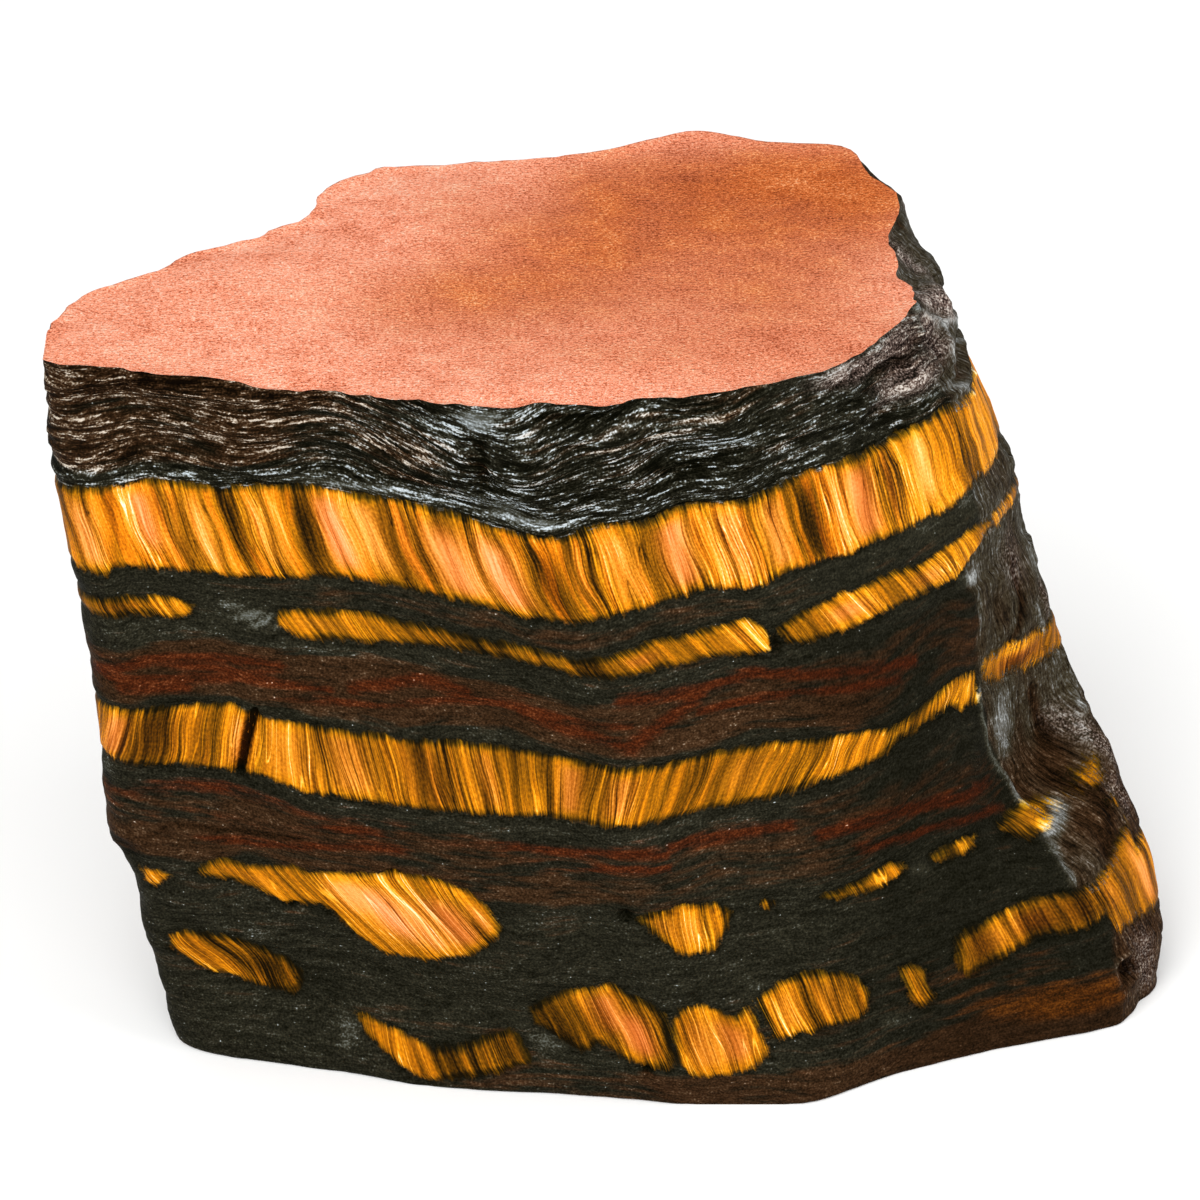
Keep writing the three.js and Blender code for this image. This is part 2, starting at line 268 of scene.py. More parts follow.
# ---------------------------------------------------------------- golden seams, read off the photograph
# Each seam is its top edge and its bottom edge, left to right, in photograph pixels. lean says how
# its fibres slope, in millimetres round the block for each millimetre down, bow how that grows, and
# swing how much of it holds at places round the block. back is the seam's course round the back:
# (distance round the block, top, bottom), in millimetres.
SEAMS = {
    "first": dict(
        bow=0.025, swing=[(40, 0.55), (54, 0.75), (64, 0.95), (74, 0.9), (82, 0.45), (118, 0.5)],
        top=[(74, 487), (112, 487), (149, 480), (221, 486), (318, 487), (364, 494), (446, 512), (504, 529),
             (546, 539), (596, 528), (640, 523), (680, 505), (743, 500), (787, 478), (845, 459), (890, 438),
             (929, 421), (946, 407), (965, 394), (975, 386)],
        bottom=[(88, 569), (122, 566), (193, 572), (273, 580), (356, 578), (402, 588), (463, 603),
                (496, 607), (521, 619), (571, 624), (620, 616), (680, 597), (714, 589), (756, 589),
                (799, 568), (852, 553), (915, 526), (948, 509), (975, 484), (990, 466)],
        back=[(111, 47.5, 41.6), (114, 47.1, 41.4), (116.5, 47.6, 41.3), (118, 48.4, 41.4),
              (122, 48.2, 40.8), (127, 46.8, 39.5), (138, 46.6, 39.8), (147, 45.8, 38.4), (157, 46.4, 40),
              (167, 45.4, 38.8), (178, 46.8, 39.6), (189, 46.2, 39.9), (199, 45.4, 38.6), (207, 46, 39.2),
              (213, 45.2, 38.9), (218, 45.3, 38.8)]),
    "second_left": dict(lean=0.4,
        top=[(98, 597), (130, 596), (164, 597), (181, 600), (195, 607)],
        bottom=[(101, 615), (145, 614), (179, 618), (194, 613)],
        back=[(196, 36.4, 36.4), (200, 37.2, 35.8), (208, 37.2, 35.8), (213, 36.8, 35.4),
              (217.5, 36.8, 35.3)]),
    "second_middle": dict(lean=0.5,
        top=[(275, 613), (296, 608), (364, 612), (432, 626), (507, 642), (572, 659), (601, 658), (649, 642),
             (699, 631), (747, 620), (764, 630), (774, 645)],
        bottom=[(277, 627), (300, 638), (385, 642), (467, 652), (522, 664), (582, 677), (603, 680),
                (668, 667), (709, 658), (776, 649)],
        back=[(146, 36.2, 36.2), (150, 36.6, 35.2), (160, 36.3, 34.7), (168, 35.7, 35), (171, 35.4, 35.4)]),
    "second_right": dict(lean=0.5,
        top=[(776, 628), (804, 612), (843, 593), (867, 586), (896, 570), (929, 559), (955, 541), (978, 524),
             (997, 507), (1008, 492)],
        bottom=[(787, 643), (814, 641), (866, 619), (910, 601), (958, 578), (978, 555), (991, 532),
                (1014, 503)],
        back=[(111, 38.8, 37.6), (115.5, 38.5, 37.1), (118, 38.6, 37), (123, 37.6, 36.2), (131, 36.6, 35.6),
              (136, 35.8, 35.8)]),
    "third": dict(
        lean=-0.55, bow=-0.015, swing=[(40, 0.65), (52, 0.6), (57, 0), (68, 0), (75, 0.6), (82, 0.9),
               (92, 1.1), (110, 0.9)],
        top=[(112, 705), (183, 705), (233, 703), (250, 714), (311, 724), (411, 740), (486, 745), (563, 755),
             (620, 768), (668, 763), (766, 741), (828, 736), (890, 728), (923, 707), (957, 678),
             (979, 674)],
        bottom=[(117, 761), (225, 769), (254, 773), (311, 794), (395, 807), (486, 816), (553, 817),
                (607, 829), (658, 822), (700, 809), (778, 797), (828, 778), (886, 753), (899, 740),
                (952, 703), (961, 709), (979, 699)],
        back=[(114, 26.9, 24.5), (121, 27.6, 24.4), (130, 28.4, 23.8), (141, 27.6, 23), (150, 28, 24.2),
              (161, 27.2, 23.4), (171, 28.4, 23.6), (182, 28, 24.4), (192, 28.6, 23.8), (203, 28, 23.4),
              (212, 28.2, 23.6), (217, 28.1, 23.5)]),
    "third_side": dict(lean=-0.3,
        top=[(985, 660), (1012, 643), (1037, 631), (1050, 627)],
        bottom=[(984, 683), (1003, 683), (1016, 671), (1037, 666), (1056, 656)]),
    "lens_tip": dict(lean=0.4,
        top=[(143, 862), (160, 868), (174, 877)],
        bottom=[(146, 878), (156, 886), (172, 880)]),
    "lens": dict(lean=0.4, bow=0.012,
        top=[(197, 868), (216, 858), (237, 863), (290, 864), (311, 873), (343, 875), (411, 875), (438, 879),
             (467, 890), (486, 905), (499, 922), (502, 932)],
        bottom=[(199, 874), (237, 881), (258, 889), (286, 904), (321, 904), (338, 917), (359, 938),
                (385, 955), (434, 962), (463, 957), (486, 949)],
        back=[(126, 15.4, 15.4), (131, 17, 14.2), (138, 17.8, 12), (145, 16.8, 11.6), (151, 14.6, 13.4),
              (153, 14, 14)]),
    "small_lens": dict(lean=-0.1,
        top=[(637, 920), (649, 913), (677, 906), (719, 902), (735, 915)],
        bottom=[(658, 941), (677, 955), (698, 954), (716, 947), (730, 928)],
        back=[(165, 14.2, 14.2), (169, 15.6, 12.6), (175, 16.4, 10.8), (181, 15, 11.2), (185, 13, 13)]),
    "bead": dict(top=[(760, 902), (767, 896), (774, 902)], bottom=[(761, 907), (767, 910), (773, 907)]),
    "thread": dict(lean=0.3,
        top=[(820, 897), (841, 888), (867, 877), (891, 864), (905, 865)],
        bottom=[(841, 901), (867, 894), (894, 883), (907, 872)]),
    "thread_right": dict(lean=0.2,
        top=[(930, 856), (950, 845), (976, 832)],
        bottom=[(932, 864), (955, 856), (976, 845)]),
    "right_patch": dict(lean=0.2,
        top=[(996, 822), (1012, 810), (1026, 798), (1043, 790), (1056, 797)],
        bottom=[(1000, 830), (1026, 834), (1050, 826)]),
    "side_patch": dict(lean=-0.3,
        top=[(1062, 782), (1070, 768), (1084, 757), (1102, 751)],
        bottom=[(1066, 794), (1090, 795), (1110, 783)]),
    "side_dot": dict(lean=-0.3,
        top=[(1106, 798), (1114, 793), (1122, 798)],
        bottom=[(1108, 806), (1120, 808)]),
    "low_left": dict(lean=0.3,
        top=[(166, 936), (180, 932), (205, 932), (235, 939), (265, 950), (292, 962), (303, 972)],
        bottom=[(172, 950), (190, 963), (215, 973), (245, 982), (275, 990), (295, 994), (304, 984)],
        back=[(190, 7, 7), (195, 8.8, 5.8), (203, 9.4, 6.2), (211, 8.4, 6.6), (213, 7.6, 7.2)]),
    "low_strip": dict(lean=0.3,
        top=[(351, 1009), (385, 1022), (419, 1037), (438, 1044), (463, 1043), (486, 1033), (515, 1029),
             (534, 1060)],
        bottom=[(364, 1030), (385, 1047), (400, 1060), (434, 1072), (480, 1071), (507, 1066)]),
    "low_first": dict(lean=0.2,
        top=[(526, 1010), (545, 997), (566, 991), (591, 987), (610, 983), (626, 991), (649, 1004),
             (666, 1016)],
        bottom=[(534, 1024), (559, 1039), (582, 1052), (601, 1043), (620, 1056), (645, 1066), (677, 1068)]),
    "low_second": dict(lean=0.1,
        top=[(670, 1022), (680, 1011), (698, 1006), (716, 1010), (737, 1020), (751, 1004)],
        bottom=[(680, 1065), (698, 1074), (730, 1076), (751, 1069), (769, 1051)]),
    "low_third": dict(lean=0.15,
        top=[(757, 1001), (780, 983), (805, 972), (837, 972), (859, 977), (869, 992)],
        bottom=[(776, 1042), (805, 1033), (832, 1027), (859, 1020), (869, 1011)],
        back=[(152, 6, 6), (156, 7.6, 4.4), (163, 7, 3.4), (168, 5, 3.6), (170, 4.2, 4.2)]),
    "low_fourth": dict(lean=0.3,
        top=[(899, 968), (912, 964), (926, 970)],
        bottom=[(912, 1003), (925, 1007), (938, 1000)]),
    "low_right": dict(lean=0.1,
        top=[(955, 938), (978, 923), (1014, 907), (1045, 896), (1079, 892), (1102, 871), (1116, 837),
             (1127, 815)],
        bottom=[(958, 968), (968, 976), (1006, 955), (1037, 938), (1075, 936), (1112, 913), (1140, 900),
                (1152, 900)],
        back=[(108, 10, 6.6), (114, 11.4, 5.6), (121, 10, 5.4), (128, 8.2, 4.6), (134, 6.4, 5.2),
              (137, 5.6, 5.6)]),
}
OUTSIDE = -4.0  # the depth of places well outside every seam
WAVER, WAVER_FINENESS = 0.13, 0.6  # how far the seams' edges waver, and how often in a millimetre


def from_side(places, a, b):
    """How far each place is from the line from a to b."""
    side = b - a
    t = np.clip(((places - a) @ side) / max(side @ side, TINY), 0, 1)
    return np.hypot(*(places - a - t[:, None] * side).T)


def inside_outline(places, outline):
    """Signed distance of each place from a closed outline, positive inside, at least OUTSIDE."""
    best = np.full(len(places), OUTSIDE)
    near = np.all((places > outline.min(0) + OUTSIDE) & (places < outline.max(0) - OUTSIDE), axis=1)
    p = places[near]
    distance = np.full(len(p), np.inf)
    inside = np.zeros(len(p), bool)
    for a, b in zip(outline, np.roll(outline, -1, 0)):
        distance = np.minimum(distance, from_side(p, a, b))
        run, rise = b - a
        rise = rise if abs(rise) > TINY else TINY
        crosses = (a[1] > p[:, 1]) != (b[1] > p[:, 1])
        inside ^= crosses & (p[:, 0] < a[0] + (p[:, 1] - a[1]) / rise * run)
    best[near] = np.maximum(np.where(inside, distance, -distance), OUTSIDE)
    return best


def golden_seams(places):
    """For each place: its depth inside the nearest golden seam (negative outside), its fibre's place round
    the block, and its share of the way from the seam's bottom edge to its top one."""
    u, z = places.T
    behind = from_front(u)
    depth = np.full(len(places), OUTSIDE)
    fibre = u.copy()
    share = np.full(len(places), 0.5)

    def add_seam(seam, inside, high, low, middle):
        nonlocal depth, fibre, share
        here = inside > depth
        below = middle - z
        slant = seam.get("lean", 0.0) * below + seam.get("bow", 0.0) * below * np.abs(below)
        if "swing" in seam:
            slant = slant * curve(u, seam["swing"])
        fibre = np.where(here, u - slant, fibre)
        share = np.where(here, (z - low) / np.maximum(high - low, 0.5), share)
        depth = np.maximum(depth, inside)

    for seam in SEAMS.values():
        outline = unrolled(seam["top"] + seam["bottom"][::-1])
        top, bottom = outline[:len(seam["top"])], outline[len(seam["top"]):]
        middle = top[:, 1].mean()
        high, low = [curve(u, edge[np.argsort(edge[:, 0])]) for edge in (top, bottom)]
        add_seam(seam, inside_outline(places, outline), high, low, middle)
        if "back" in seam:
            at, *edges = np.array(seam["back"], float).T
            high, low = [np.interp(behind, at, edge) for edge in edges]
            inside = np.minimum(high - z, z - low)
            inside = np.where((behind < at[0]) | (behind > at[-1]), OUTSIDE, inside)
            add_seam(seam, inside, high, low, middle)
    depth += WAVER * noise(u * WAVER_FINENESS, z * WAVER_FINENESS, 0, 61)
    return depth, fibre, np.clip(share, 0, 1)


# ---------------------------------------------------------------- other marks, read off the photograph
# Red jasper streaks: the pixels that each runs through, and its half width in millimetres.
JASPER = [
    ([(100, 665), (150, 660), (220, 659), (279, 665)], 0.61), ([(122, 686), (185, 688)], 0.68),
    ([(110, 676), (240, 678), (330, 690)], 0.47), ([(353, 688), (420, 678), (467, 692)], 0.61),
    ([(524, 713), (582, 732), (630, 747), (700, 694)], 0.68),
    ([(620, 700), (700, 690), (757, 672), (915, 662)], 0.61), ([(700, 712), (800, 690), (900, 680)], 0.47),
    ([(112, 785), (174, 789), (225, 787), (279, 802), (332, 819), (420, 834), (482, 846), (524, 863)], 0.81),
    ([(118, 815), (190, 812), (260, 825), (330, 842)], 0.68),
    ([(524, 863), (610, 855), (700, 840), (790, 825)], 0.61), ([(820, 835), (900, 812), (990, 780)], 0.68),
    ([(860, 850), (950, 822), (1000, 805)], 0.54),
]
# The streaks that follow the beds round the back: level and half width, in millimetres.
BACK_JASPER = [(32.5, 0.5), (31.0, 0.4), (20.5, 0.5), (18.6, 0.45)]

# Where the dark stone glows brown, like a seam just under its skin: middle pixel, half width and half
# height in millimetres, strength.
EMBERS = [
    (1070, 1000, 4, 1.3, 1), (1010, 1003, 3.5, 1.2, 0.6), (985, 985, 4, 2, 0.25), (1105, 985, 1, 1.6, 0.5),
]


def nearness(places, pixels, width):
    """1 on a line through these pixels, fading to 0 away from it."""
    line = unrolled(pixels)
    distance = np.full(len(places), np.inf)
    for a, b in zip(line[:-1], line[1:]):
        distance = np.minimum(distance, from_side(places, a, b))
    return np.exp(-((distance / width) ** 2))


def jasper(places):
    """How red each place is, 0 to 1."""
    u, z = places.T
    red = np.zeros(len(places))
    for pixels, width in JASPER:
        red = np.maximum(red, nearness(places, pixels, width))
    behind = from_front(u)
    red *= 1 - 0.6 * smoothstep(104, 110, behind) * smoothstep(24, 20, z)
    back = smoothstep(118, 126, behind)
    for level, width in BACK_JASPER:
        course = level + 0.7 * noise(behind / 9, level, 0, 31)
        strength = smoothstep(-0.3, 0.4, noise(behind / 7, level, 3, 32))
        red = np.maximum(red, back * strength * np.exp(-(((z - course) / width) ** 2)))
    return red


# Where the front of the block turns into its right side, from the top down.
RIDGE = [(936, 326), (940, 380), (965, 430), (974, 480), (978, 541), (963, 575), (979, 594), (980, 623),
         (979, 665), (981, 706), (989, 740), (1011, 782), (1020, 797), (1048, 830), (1067, 864),
         (1077, 885), (1115, 916), (1115, 968), (1125, 1002), (1127, 1024)]

# Differences along the fibres, partly of the fibres' own colour and partly painted sheen, the silky light
# that runs across tiger's eye: the pixel in the middle, half width and half height in millimetres, how
# much lighter, and how much more peach than gold.
SHEEN_AND_TONES = [
    (88, 535, 0.9, 3, 0.22, 0.55), (116, 520, 0.35, 3.5, -0.35, 0), (142, 515, 0.6, 2.6, 0.12, 0.8),
    (172, 525, 0.8, 3.5, -0.12, 0.1), (205, 535, 0.9, 3.2, 0.18, 0.2), (233, 520, 0.6, 3.5, -0.32, 0),
    (268, 535, 1, 3, 0.16, 0.15), (303, 525, 0.6, 3.5, -0.28, 0), (336, 535, 0.8, 3, 0.14, 1),
    (368, 535, 1, 3.3, 0.34, 0.35), (408, 545, 1.1, 3.5, -0.2, 0.1), (455, 565, 1.4, 3, 0.24, 0.8),
    (500, 575, 1.2, 2.8, 0.16, 0.9), (548, 580, 0.9, 3.6, -0.42, 0), (580, 575, 0.7, 3.5, -0.16, 0.1),
    (625, 570, 1.3, 3.2, 0.14, 0.15), (676, 555, 1, 3, 0.14, 0.85), (735, 545, 1.3, 3.2, 0.02, 0.2),
    (778, 535, 0.8, 3.2, 0.2, 0.4), (812, 520, 0.9, 3.5, -0.42, 0), (840, 510, 0.5, 3.2, 0.26, 0.2),
    (864, 500, 0.9, 2.8, 0.06, 0.85), (892, 485, 0.6, 3.4, -0.22, 0.1), (924, 462, 0.8, 3.2, 0.34, 0.3),
    (955, 450, 0.9, 3.4, -0.12, 0), (985, 420, 1, 3, -0.02, 0), (118, 735, 0.8, 2.2, 0.05, 0.6),
    (150, 740, 1.6, 2.6, -0.26, 0.1), (205, 738, 1.6, 2.4, -0.12, 0), (238, 745, 0.5, 2, 0.2, 0.3),
    (290, 755, 1.5, 2.4, 0.02, 0.1), (350, 765, 1.5, 2.4, 0.04, 0.25), (430, 780, 1.8, 2.6, -0.2, 0.1),
    (490, 785, 0.8, 2.2, 0.04, 0.2), (568, 788, 0.8, 2.2, 0.14, 0.45), (620, 800, 1, 2.2, 0.02, 0.3),
    (690, 785, 1.4, 2.4, -0.16, 0), (745, 770, 1.4, 2, 0.06, 0.1), (920, 718, 1.6, 1.4, -0.12, 0),
    (120, 606, 2, 0.9, -0.16, 0.3), (320, 622, 1.6, 1, 0.12, 0.1), (470, 640, 3, 0.9, -0.14, 0),
    (585, 668, 1, 0.9, -0.35, 0), (640, 662, 1.2, 0.9, -0.02, 0.5), (740, 637, 1.2, 1, 0.08, 0.1),
    (850, 610, 1.6, 1, 0.02, 0.5), (930, 578, 1.4, 1, 0.08, 0.3), (1005, 512, 1, 1.4, 0, 0.4),
    (350, 895, 1.3, 2, 0.08, 0.5), (388, 915, 1.3, 2.2, 0.2, 0.9), (422, 925, 0.9, 2.2, 0.06, 0.5),
    (455, 925, 1.4, 2, -0.04, 0.7), (487, 925, 0.6, 1.6, 0.06, 0.5), (240, 875, 1.6, 1, -0.05, 0.1),
    (205, 950, 2.6, 2, -0.1, 0), (275, 975, 1.6, 1.6, -0.22, 0), (660, 930, 0.8, 1.4, 0.08, 0.2),
    (690, 930, 1, 1.4, 0.02, 0.1), (280, 1020, 1, 1, -0.3, 0), (460, 1057, 1.4, 1.2, -0.1, 0),
    (510, 1045, 0.8, 1.2, -0.2, 0), (560, 1020, 1, 1.8, -0.02, 0), (608, 1012, 1, 1.8, 0.04, 0.6),
    (640, 1035, 1, 1.8, 0.06, 0.9), (700, 1045, 1.2, 2, -0.02, 0.2), (735, 1040, 1, 1.8, 0.02, 0.5),
    (785, 1010, 1.2, 1.8, 0.06, 0.1), (835, 1000, 1.2, 1.6, 0.04, 0.1), (915, 985, 0.9, 1.5, 0.1, 0),
    (985, 945, 1.2, 1.6, 0.06, 0.2), (1035, 925, 1.2, 1.6, -0.2, 0.3), (1078, 905, 1.6, 1.8, -0.3, 0.1),
    (1108, 890, 0.6, 1.4, 0, 0.2), (1122, 870, 0.6, 2.6, -0.14, 0), (1146, 875, 0.8, 2.6, 0.4, 0.6),
    (1040, 812, 1, 1, 0.02, 0.4), (1018, 662, 2.6, 1.6, -0.46, 0.4), (1080, 775, 1.6, 1.6, 0.12, 0.2),
    (967, 690, 0.8, 1, 0.15, 0),
]

# Marks on the wall: middle pixel, half width and half height in millimetres, how far they stand out in
# millimetres, and how much lighter they are painted: painted highlights above 0, painted shade below.
MARKS = [
    # silvery glints: painted highlights where the hematite shines, partly paler flakes of the stone
    (470, 422, 2.4, 0.9, -0.4, 1.1), (510, 414, 2, 0.5, 0, 0.6), (575, 412, 3.4, 0.4, 0, 0.5),
    (655, 407, 1.5, 0.35, 0, 0.6), (505, 512, 2.4, 0.9, -0.2, 0.8), (545, 526, 1.6, 0.5, 0, 0.8),
    (250, 618, 1.5, 0.6, 0, 0.4), (95, 480, 2, 0.5, 0, 0.5), (315, 480, 4, 0.5, 0, 0.7),
    (390, 492, 3, 0.6, 0, 0.6), (352, 1022, 1, 0.8, 0, 0.6), (345, 1040, 0.6, 0.8, 0, 0.5),
    (262, 935, 0.8, 0.6, 0, 0.4), (548, 1040, 1.2, 0.6, 0, 0.6), (1000, 728, 1.5, 2.6, 0.25, 0.95),
    (875, 878, 0.5, 0.4, 0, 0.5), (921, 868, 0.8, 0.5, 0, 0.6), (1040, 612, 0.5, 0.8, 0, 0.3),
    (300, 880, 0.6, 0.3, 0, 0.5), (112, 762, 0.8, 0.4, 0, 0.5), (250, 711, 0.8, 0.25, 0, 0.8),
    (335, 733, 2, 0.3, 0, 0.4), (890, 1020, 1.2, 0.4, 0, 0.6), (195, 478, 2.5, 0.5, 0, 0.35),
    (720, 440, 3, 0.5, 0, 0.3), (610, 450, 3, 0.6, 0.1, 0.3), (440, 505, 1.5, 0.5, 0, 0.5),
    (330, 650, 4, 0.4, 0, 0.3), (160, 622, 3, 0.5, 0, 0.2), (690, 432, 3.5, 0.9, 0.5, 0.15),
    (600, 432, 3, 0.8, 0.3, 0.05), (972, 578, 0.9, 0.5, 0.1, 0.8), (922, 524, 1.5, 0.9, 0, 0.45),
    (962, 488, 1, 1.3, 0.1, 0.5), (948, 545, 0.5, 0.4, 0, 0.3),
    # pits and shadows: painted shade in hollows, cracks and folds
    (626, 916, 0.5, 0.5, -0.7, -1), (291, 903, 0.35, 0.3, -0.5, -0.8), (393, 874, 0.4, 0.25, -0.5, -0.8),
    (645, 1068, 0.4, 0.35, -0.6, -0.9), (1131, 972, 0.6, 0.8, -1, -1), (132, 848, 1, 0.8, -0.5, -0.5),
    (478, 470, 0.8, 2, -0.5, -0.4), (130, 455, 3, 0.5, 0, -0.4), (420, 480, 2.5, 0.6, 0, -0.4),
    (660, 470, 3, 0.5, 0, -0.4), (778, 641, 0.4, 0.8, -0.35, -0.8), (320, 905, 1.5, 0.8, 0, -0.3),
    (508, 512, 1.6, 0.8, -0.2, 0), (320, 1000, 1.4, 2.4, -0.4, -0.1), (1000, 610, 1, 1.6, -0.3, -0.2),
    (1060, 845, 1.4, 1.4, -0.5, 0), (185, 880, 1.2, 0.5, -0.3, 0), (300, 935, 1.4, 1, -0.3, 0),
    # the right shoulder: a scoop, its floor and lip, the face beside it and the ledge above that; painted
    # shade in the scoop and on the face, painted highlights on the lip and the ledges
    (906, 364, 1.3, 0.8, -0.9, -1), (884, 372, 1.2, 0.45, -0.5, -0.7), (908, 388, 2.2, 0.5, 0.2, 0.1),
    (944, 402, 1.8, 0.4, -0.1, -0.6), (880, 351, 1.5, 0.7, 0.4, 0.25), (903, 335, 1.4, 0.5, 0.3, 0.15),
    (942, 305, 1.3, 0.8, 0.5, 0.15), (942, 350, 1, 1.7, -0.4, -0.5), (900, 247, 0.6, 0.3, -0.5, -1),
    (895, 222, 0.4, 0.8, -0.1, -0.6), (905, 290, 0.5, 0.8, -0.1, -0.7), (930, 250, 1.2, 1.2, 0.1, 0.2),
    (908, 204, 1, 1, 0.1, 0.3), (868, 392, 2, 0.4, -0.2, -0.6), (845, 372, 1.6, 0.35, 0.2, 0.6),
    (815, 378, 2, 0.35, 0.1, 0.5), (850, 388, 1.4, 0.3, 0.1, 0.4),
    # the outline
    (872, 170, 3, 6, -0.9, 0), (480, 168, 8, 6, -0.5, 0), (595, 158, 5, 6, -0.5, 0),
    (325, 192, 3, 8, 0.5, 0), (308, 210, 2.8, 8, 0.55, 0), (85, 298, 3, 8, 0.5, 0), (440, 1082, 6, 4, 1, 0),
    (300, 1058, 7, 3, 0.3, 0), (196, 1048, 3, 4, 0.5, 0), (620, 1092, 8, 3, 0.5, 0),
    (750, 1098, 8, 3, 0.35, 0), (908, 275, 2.6, 1, -0.9, 0),
]

# Lines on the wall: the pixels they run through, half width, how far they stand out, how much lighter:
# painted highlights along ridges, ledges and flakes, painted shade in cracks, steps and folds, partly
# the stone's own dark lines.
TRACES = [
    ([(254, 712), (249, 730), (244, 750), (239, 770)], 0.28, -0.9, -1.6),
    ([(848, 367), (871, 357), (890, 341), (910, 329)], 0.2, -0.25, -0.7),
    ([(856, 373), (879, 360), (896, 349), (906, 342), (927, 338)], 0.2, -0.3, -0.8),
    ([(833, 390), (848, 382), (858, 377), (866, 372)], 0.2, -0.3, -0.8),
    ([(852, 396), (881, 399), (890, 397), (906, 406), (929, 399), (952, 388), (963, 378)], 0.24, 0.25, 0.5),
    ([(904, 302), (912, 312), (927, 319), (944, 323), (950, 321)], 0.28, 0.3, 1),
    ([(906, 306), (910, 321), (922, 334)], 0.3, 0.3, 0.7),
    ([(930, 330), (938, 352), (948, 374)], 0.24, 0.15, 0.8),
    ([(951, 328), (956, 350), (961, 374)], 0.24, 0.15, 1),
    ([(944, 328), (951, 352), (958, 374)], 0.24, 0.15, 0.8),
    ([(220, 605), (242, 607), (262, 613), (274, 622)], 0.11, 0.1, 1.1),
    ([(232, 612), (250, 616), (268, 624), (284, 632)], 0.1, 0.1, 1.1),
    ([(236, 620), (252, 625), (268, 630)], 0.1, 0.1, 0.9),
    ([(956, 382), (962, 388), (966, 396)], 0.24, 0.1, 0.8),
    ([(960, 577), (974, 580), (979, 600), (981, 625)], 0.25, 0.1, 0.5),
    ([(979, 690), (981, 720), (986, 745), (1000, 770), (1013, 787), (1020, 802)], 0.26, 0.15, 1.2),
    ([(1048, 828), (1056, 845), (1066, 863), (1077, 885)], 0.26, 0.1, 0.8),
    ([(1036, 606), (1041, 620), (1046, 630)], 0.24, 0.2, 0.8),
    ([(1078, 688), (1083, 705), (1085, 722), (1090, 738)], 0.2, 0.25, 0.6),
    ([(1030, 690), (1042, 720), (1048, 750), (1060, 780)], 0.5, -0.15, -0.5),
    ([(1015, 640), (1022, 600), (1010, 560)], 0.3, -0.15, -0.5),
    ([(1040, 575), (1030, 550), (1024, 530)], 0.3, 0.1, 0.5),
    ([(1058, 800), (1060, 815), (1050, 828)], 0.3, 0.15, 1),
    ([(1104, 790), (1112, 830), (1108, 850)], 0.5, -0.1, -0.6),
    ([(1117, 965), (1121, 958), (1131, 952), (1140, 958)], 0.2, 0.15, 0.3),
    ([(1117, 968), (1121, 990), (1127, 1015)], 0.15, 0.1, 0.3),
    ([(45, 372), (150, 379), (260, 391), (330, 398)], 0.3, -0.15, -0.5),
    ([(420, 402), (455, 425), (477, 450), (482, 480)], 0.3, -0.2, -0.4),
    ([(482, 480), (510, 500), (545, 532)], 0.25, -0.15, -0.3),
    ([(545, 448), (600, 452), (650, 440), (680, 446)], 0.3, -0.25, -0.35),
    ([(480, 446), (500, 428), (540, 417), (620, 418)], 0.25, -0.2, -0.4),
    ([(660, 475), (740, 452), (820, 432), (880, 408)], 0.25, -0.2, -0.4),
    ([(560, 500), (640, 488), (700, 470), (800, 458)], 0.25, -0.15, -0.3),
    ([(150, 835), (170, 826), (230, 830), (300, 838)], 0.12, -0.1, -0.6),
    ([(640, 920), (700, 905), (760, 928), (850, 905), (900, 892)], 0.1, 0, -0.3),
    ([(780, 965), (830, 952), (900, 935), (960, 920)], 0.1, -0.05, -0.4),
]

# Lighter, browner breaks by the right shoulder: middle pixel, half width and half height, strength.
PALE = [
    (905, 215, 1.4, 1.6, 0.9), (912, 260, 1.6, 2.2, 0.85), (925, 295, 1.6, 1.2, 0.9), (942, 308, 1.5, 1, 1),
    (895, 345, 2.6, 1, 0.9), (868, 364, 2.4, 0.8, 0.85), (915, 380, 2.4, 1.2, 0.7), (890, 390, 1.6, 1, 0.6),
    (935, 335, 1.6, 1.6, 0.7), (843, 376, 1.8, 0.7, 0.8), (1050, 600, 0.8, 1.6, 0.3),
    (1100, 735, 0.8, 2.4, 0.4), (1120, 790, 0.7, 1.6, 0.4), (1148, 960, 1, 2.5, 0.35),
    (1010, 560, 1.4, 2.2, 0.25),
]

# Browner stretches of the top: middle pixel, half width and half depth in millimetres, strength.
TOP_TONES = [
    (640, 212, 8, 9, 0.75), (560, 255, 8, 9, 0.65), (455, 205, 5, 5, 0.35), (400, 298, 5, 5, 0.25),
    (700, 180, 9, 7, 1), (800, 185, 9, 8, 1), (858, 190, 5, 9, 1), (760, 245, 9, 8, 0.65),
    (500, 275, 8, 8, 0.5), (620, 285, 9, 7, 0.35), (800, 285, 8, 8, 0.55), (700, 325, 14, 8, 0.4),
    (450, 310, 8, 7, 0.4), (820, 340, 8, 6, 0.4), (600, 355, 16, 5, 0.3), (380, 300, 6, 7, 0.25),
    (120, 305, 6, 5, 0.2), (700, 360, 10, 4, 0.2), (575, 190, 5, 6, 0.35),
]

# Where the two side edges swell or shrink: the place round the block, half width, and then heights
# and how far out, all in millimetres.
EDGES = {
    "left": (39.8, 3.5, [(0, -0.5), (4, -0.4), (9, 0.2), (12, 0.2), (14.5, 0.6), (16.7, 1.1), (19, 0.4),
        (23, 0.5), (30, 0.5), (36, 0.65), (44, 0.7), (48, 0.6), (50, 0.2), (55, 0.2)]),
    "right": (117, 5, [(0, 0), (17, 0), (19, -0.6), (21, -0.3), (23, 0), (36, 0.1), (41, 0.4), (44, 0.8),
        (47, 0.8), (50, 0.4), (55, 0.3)]),
}

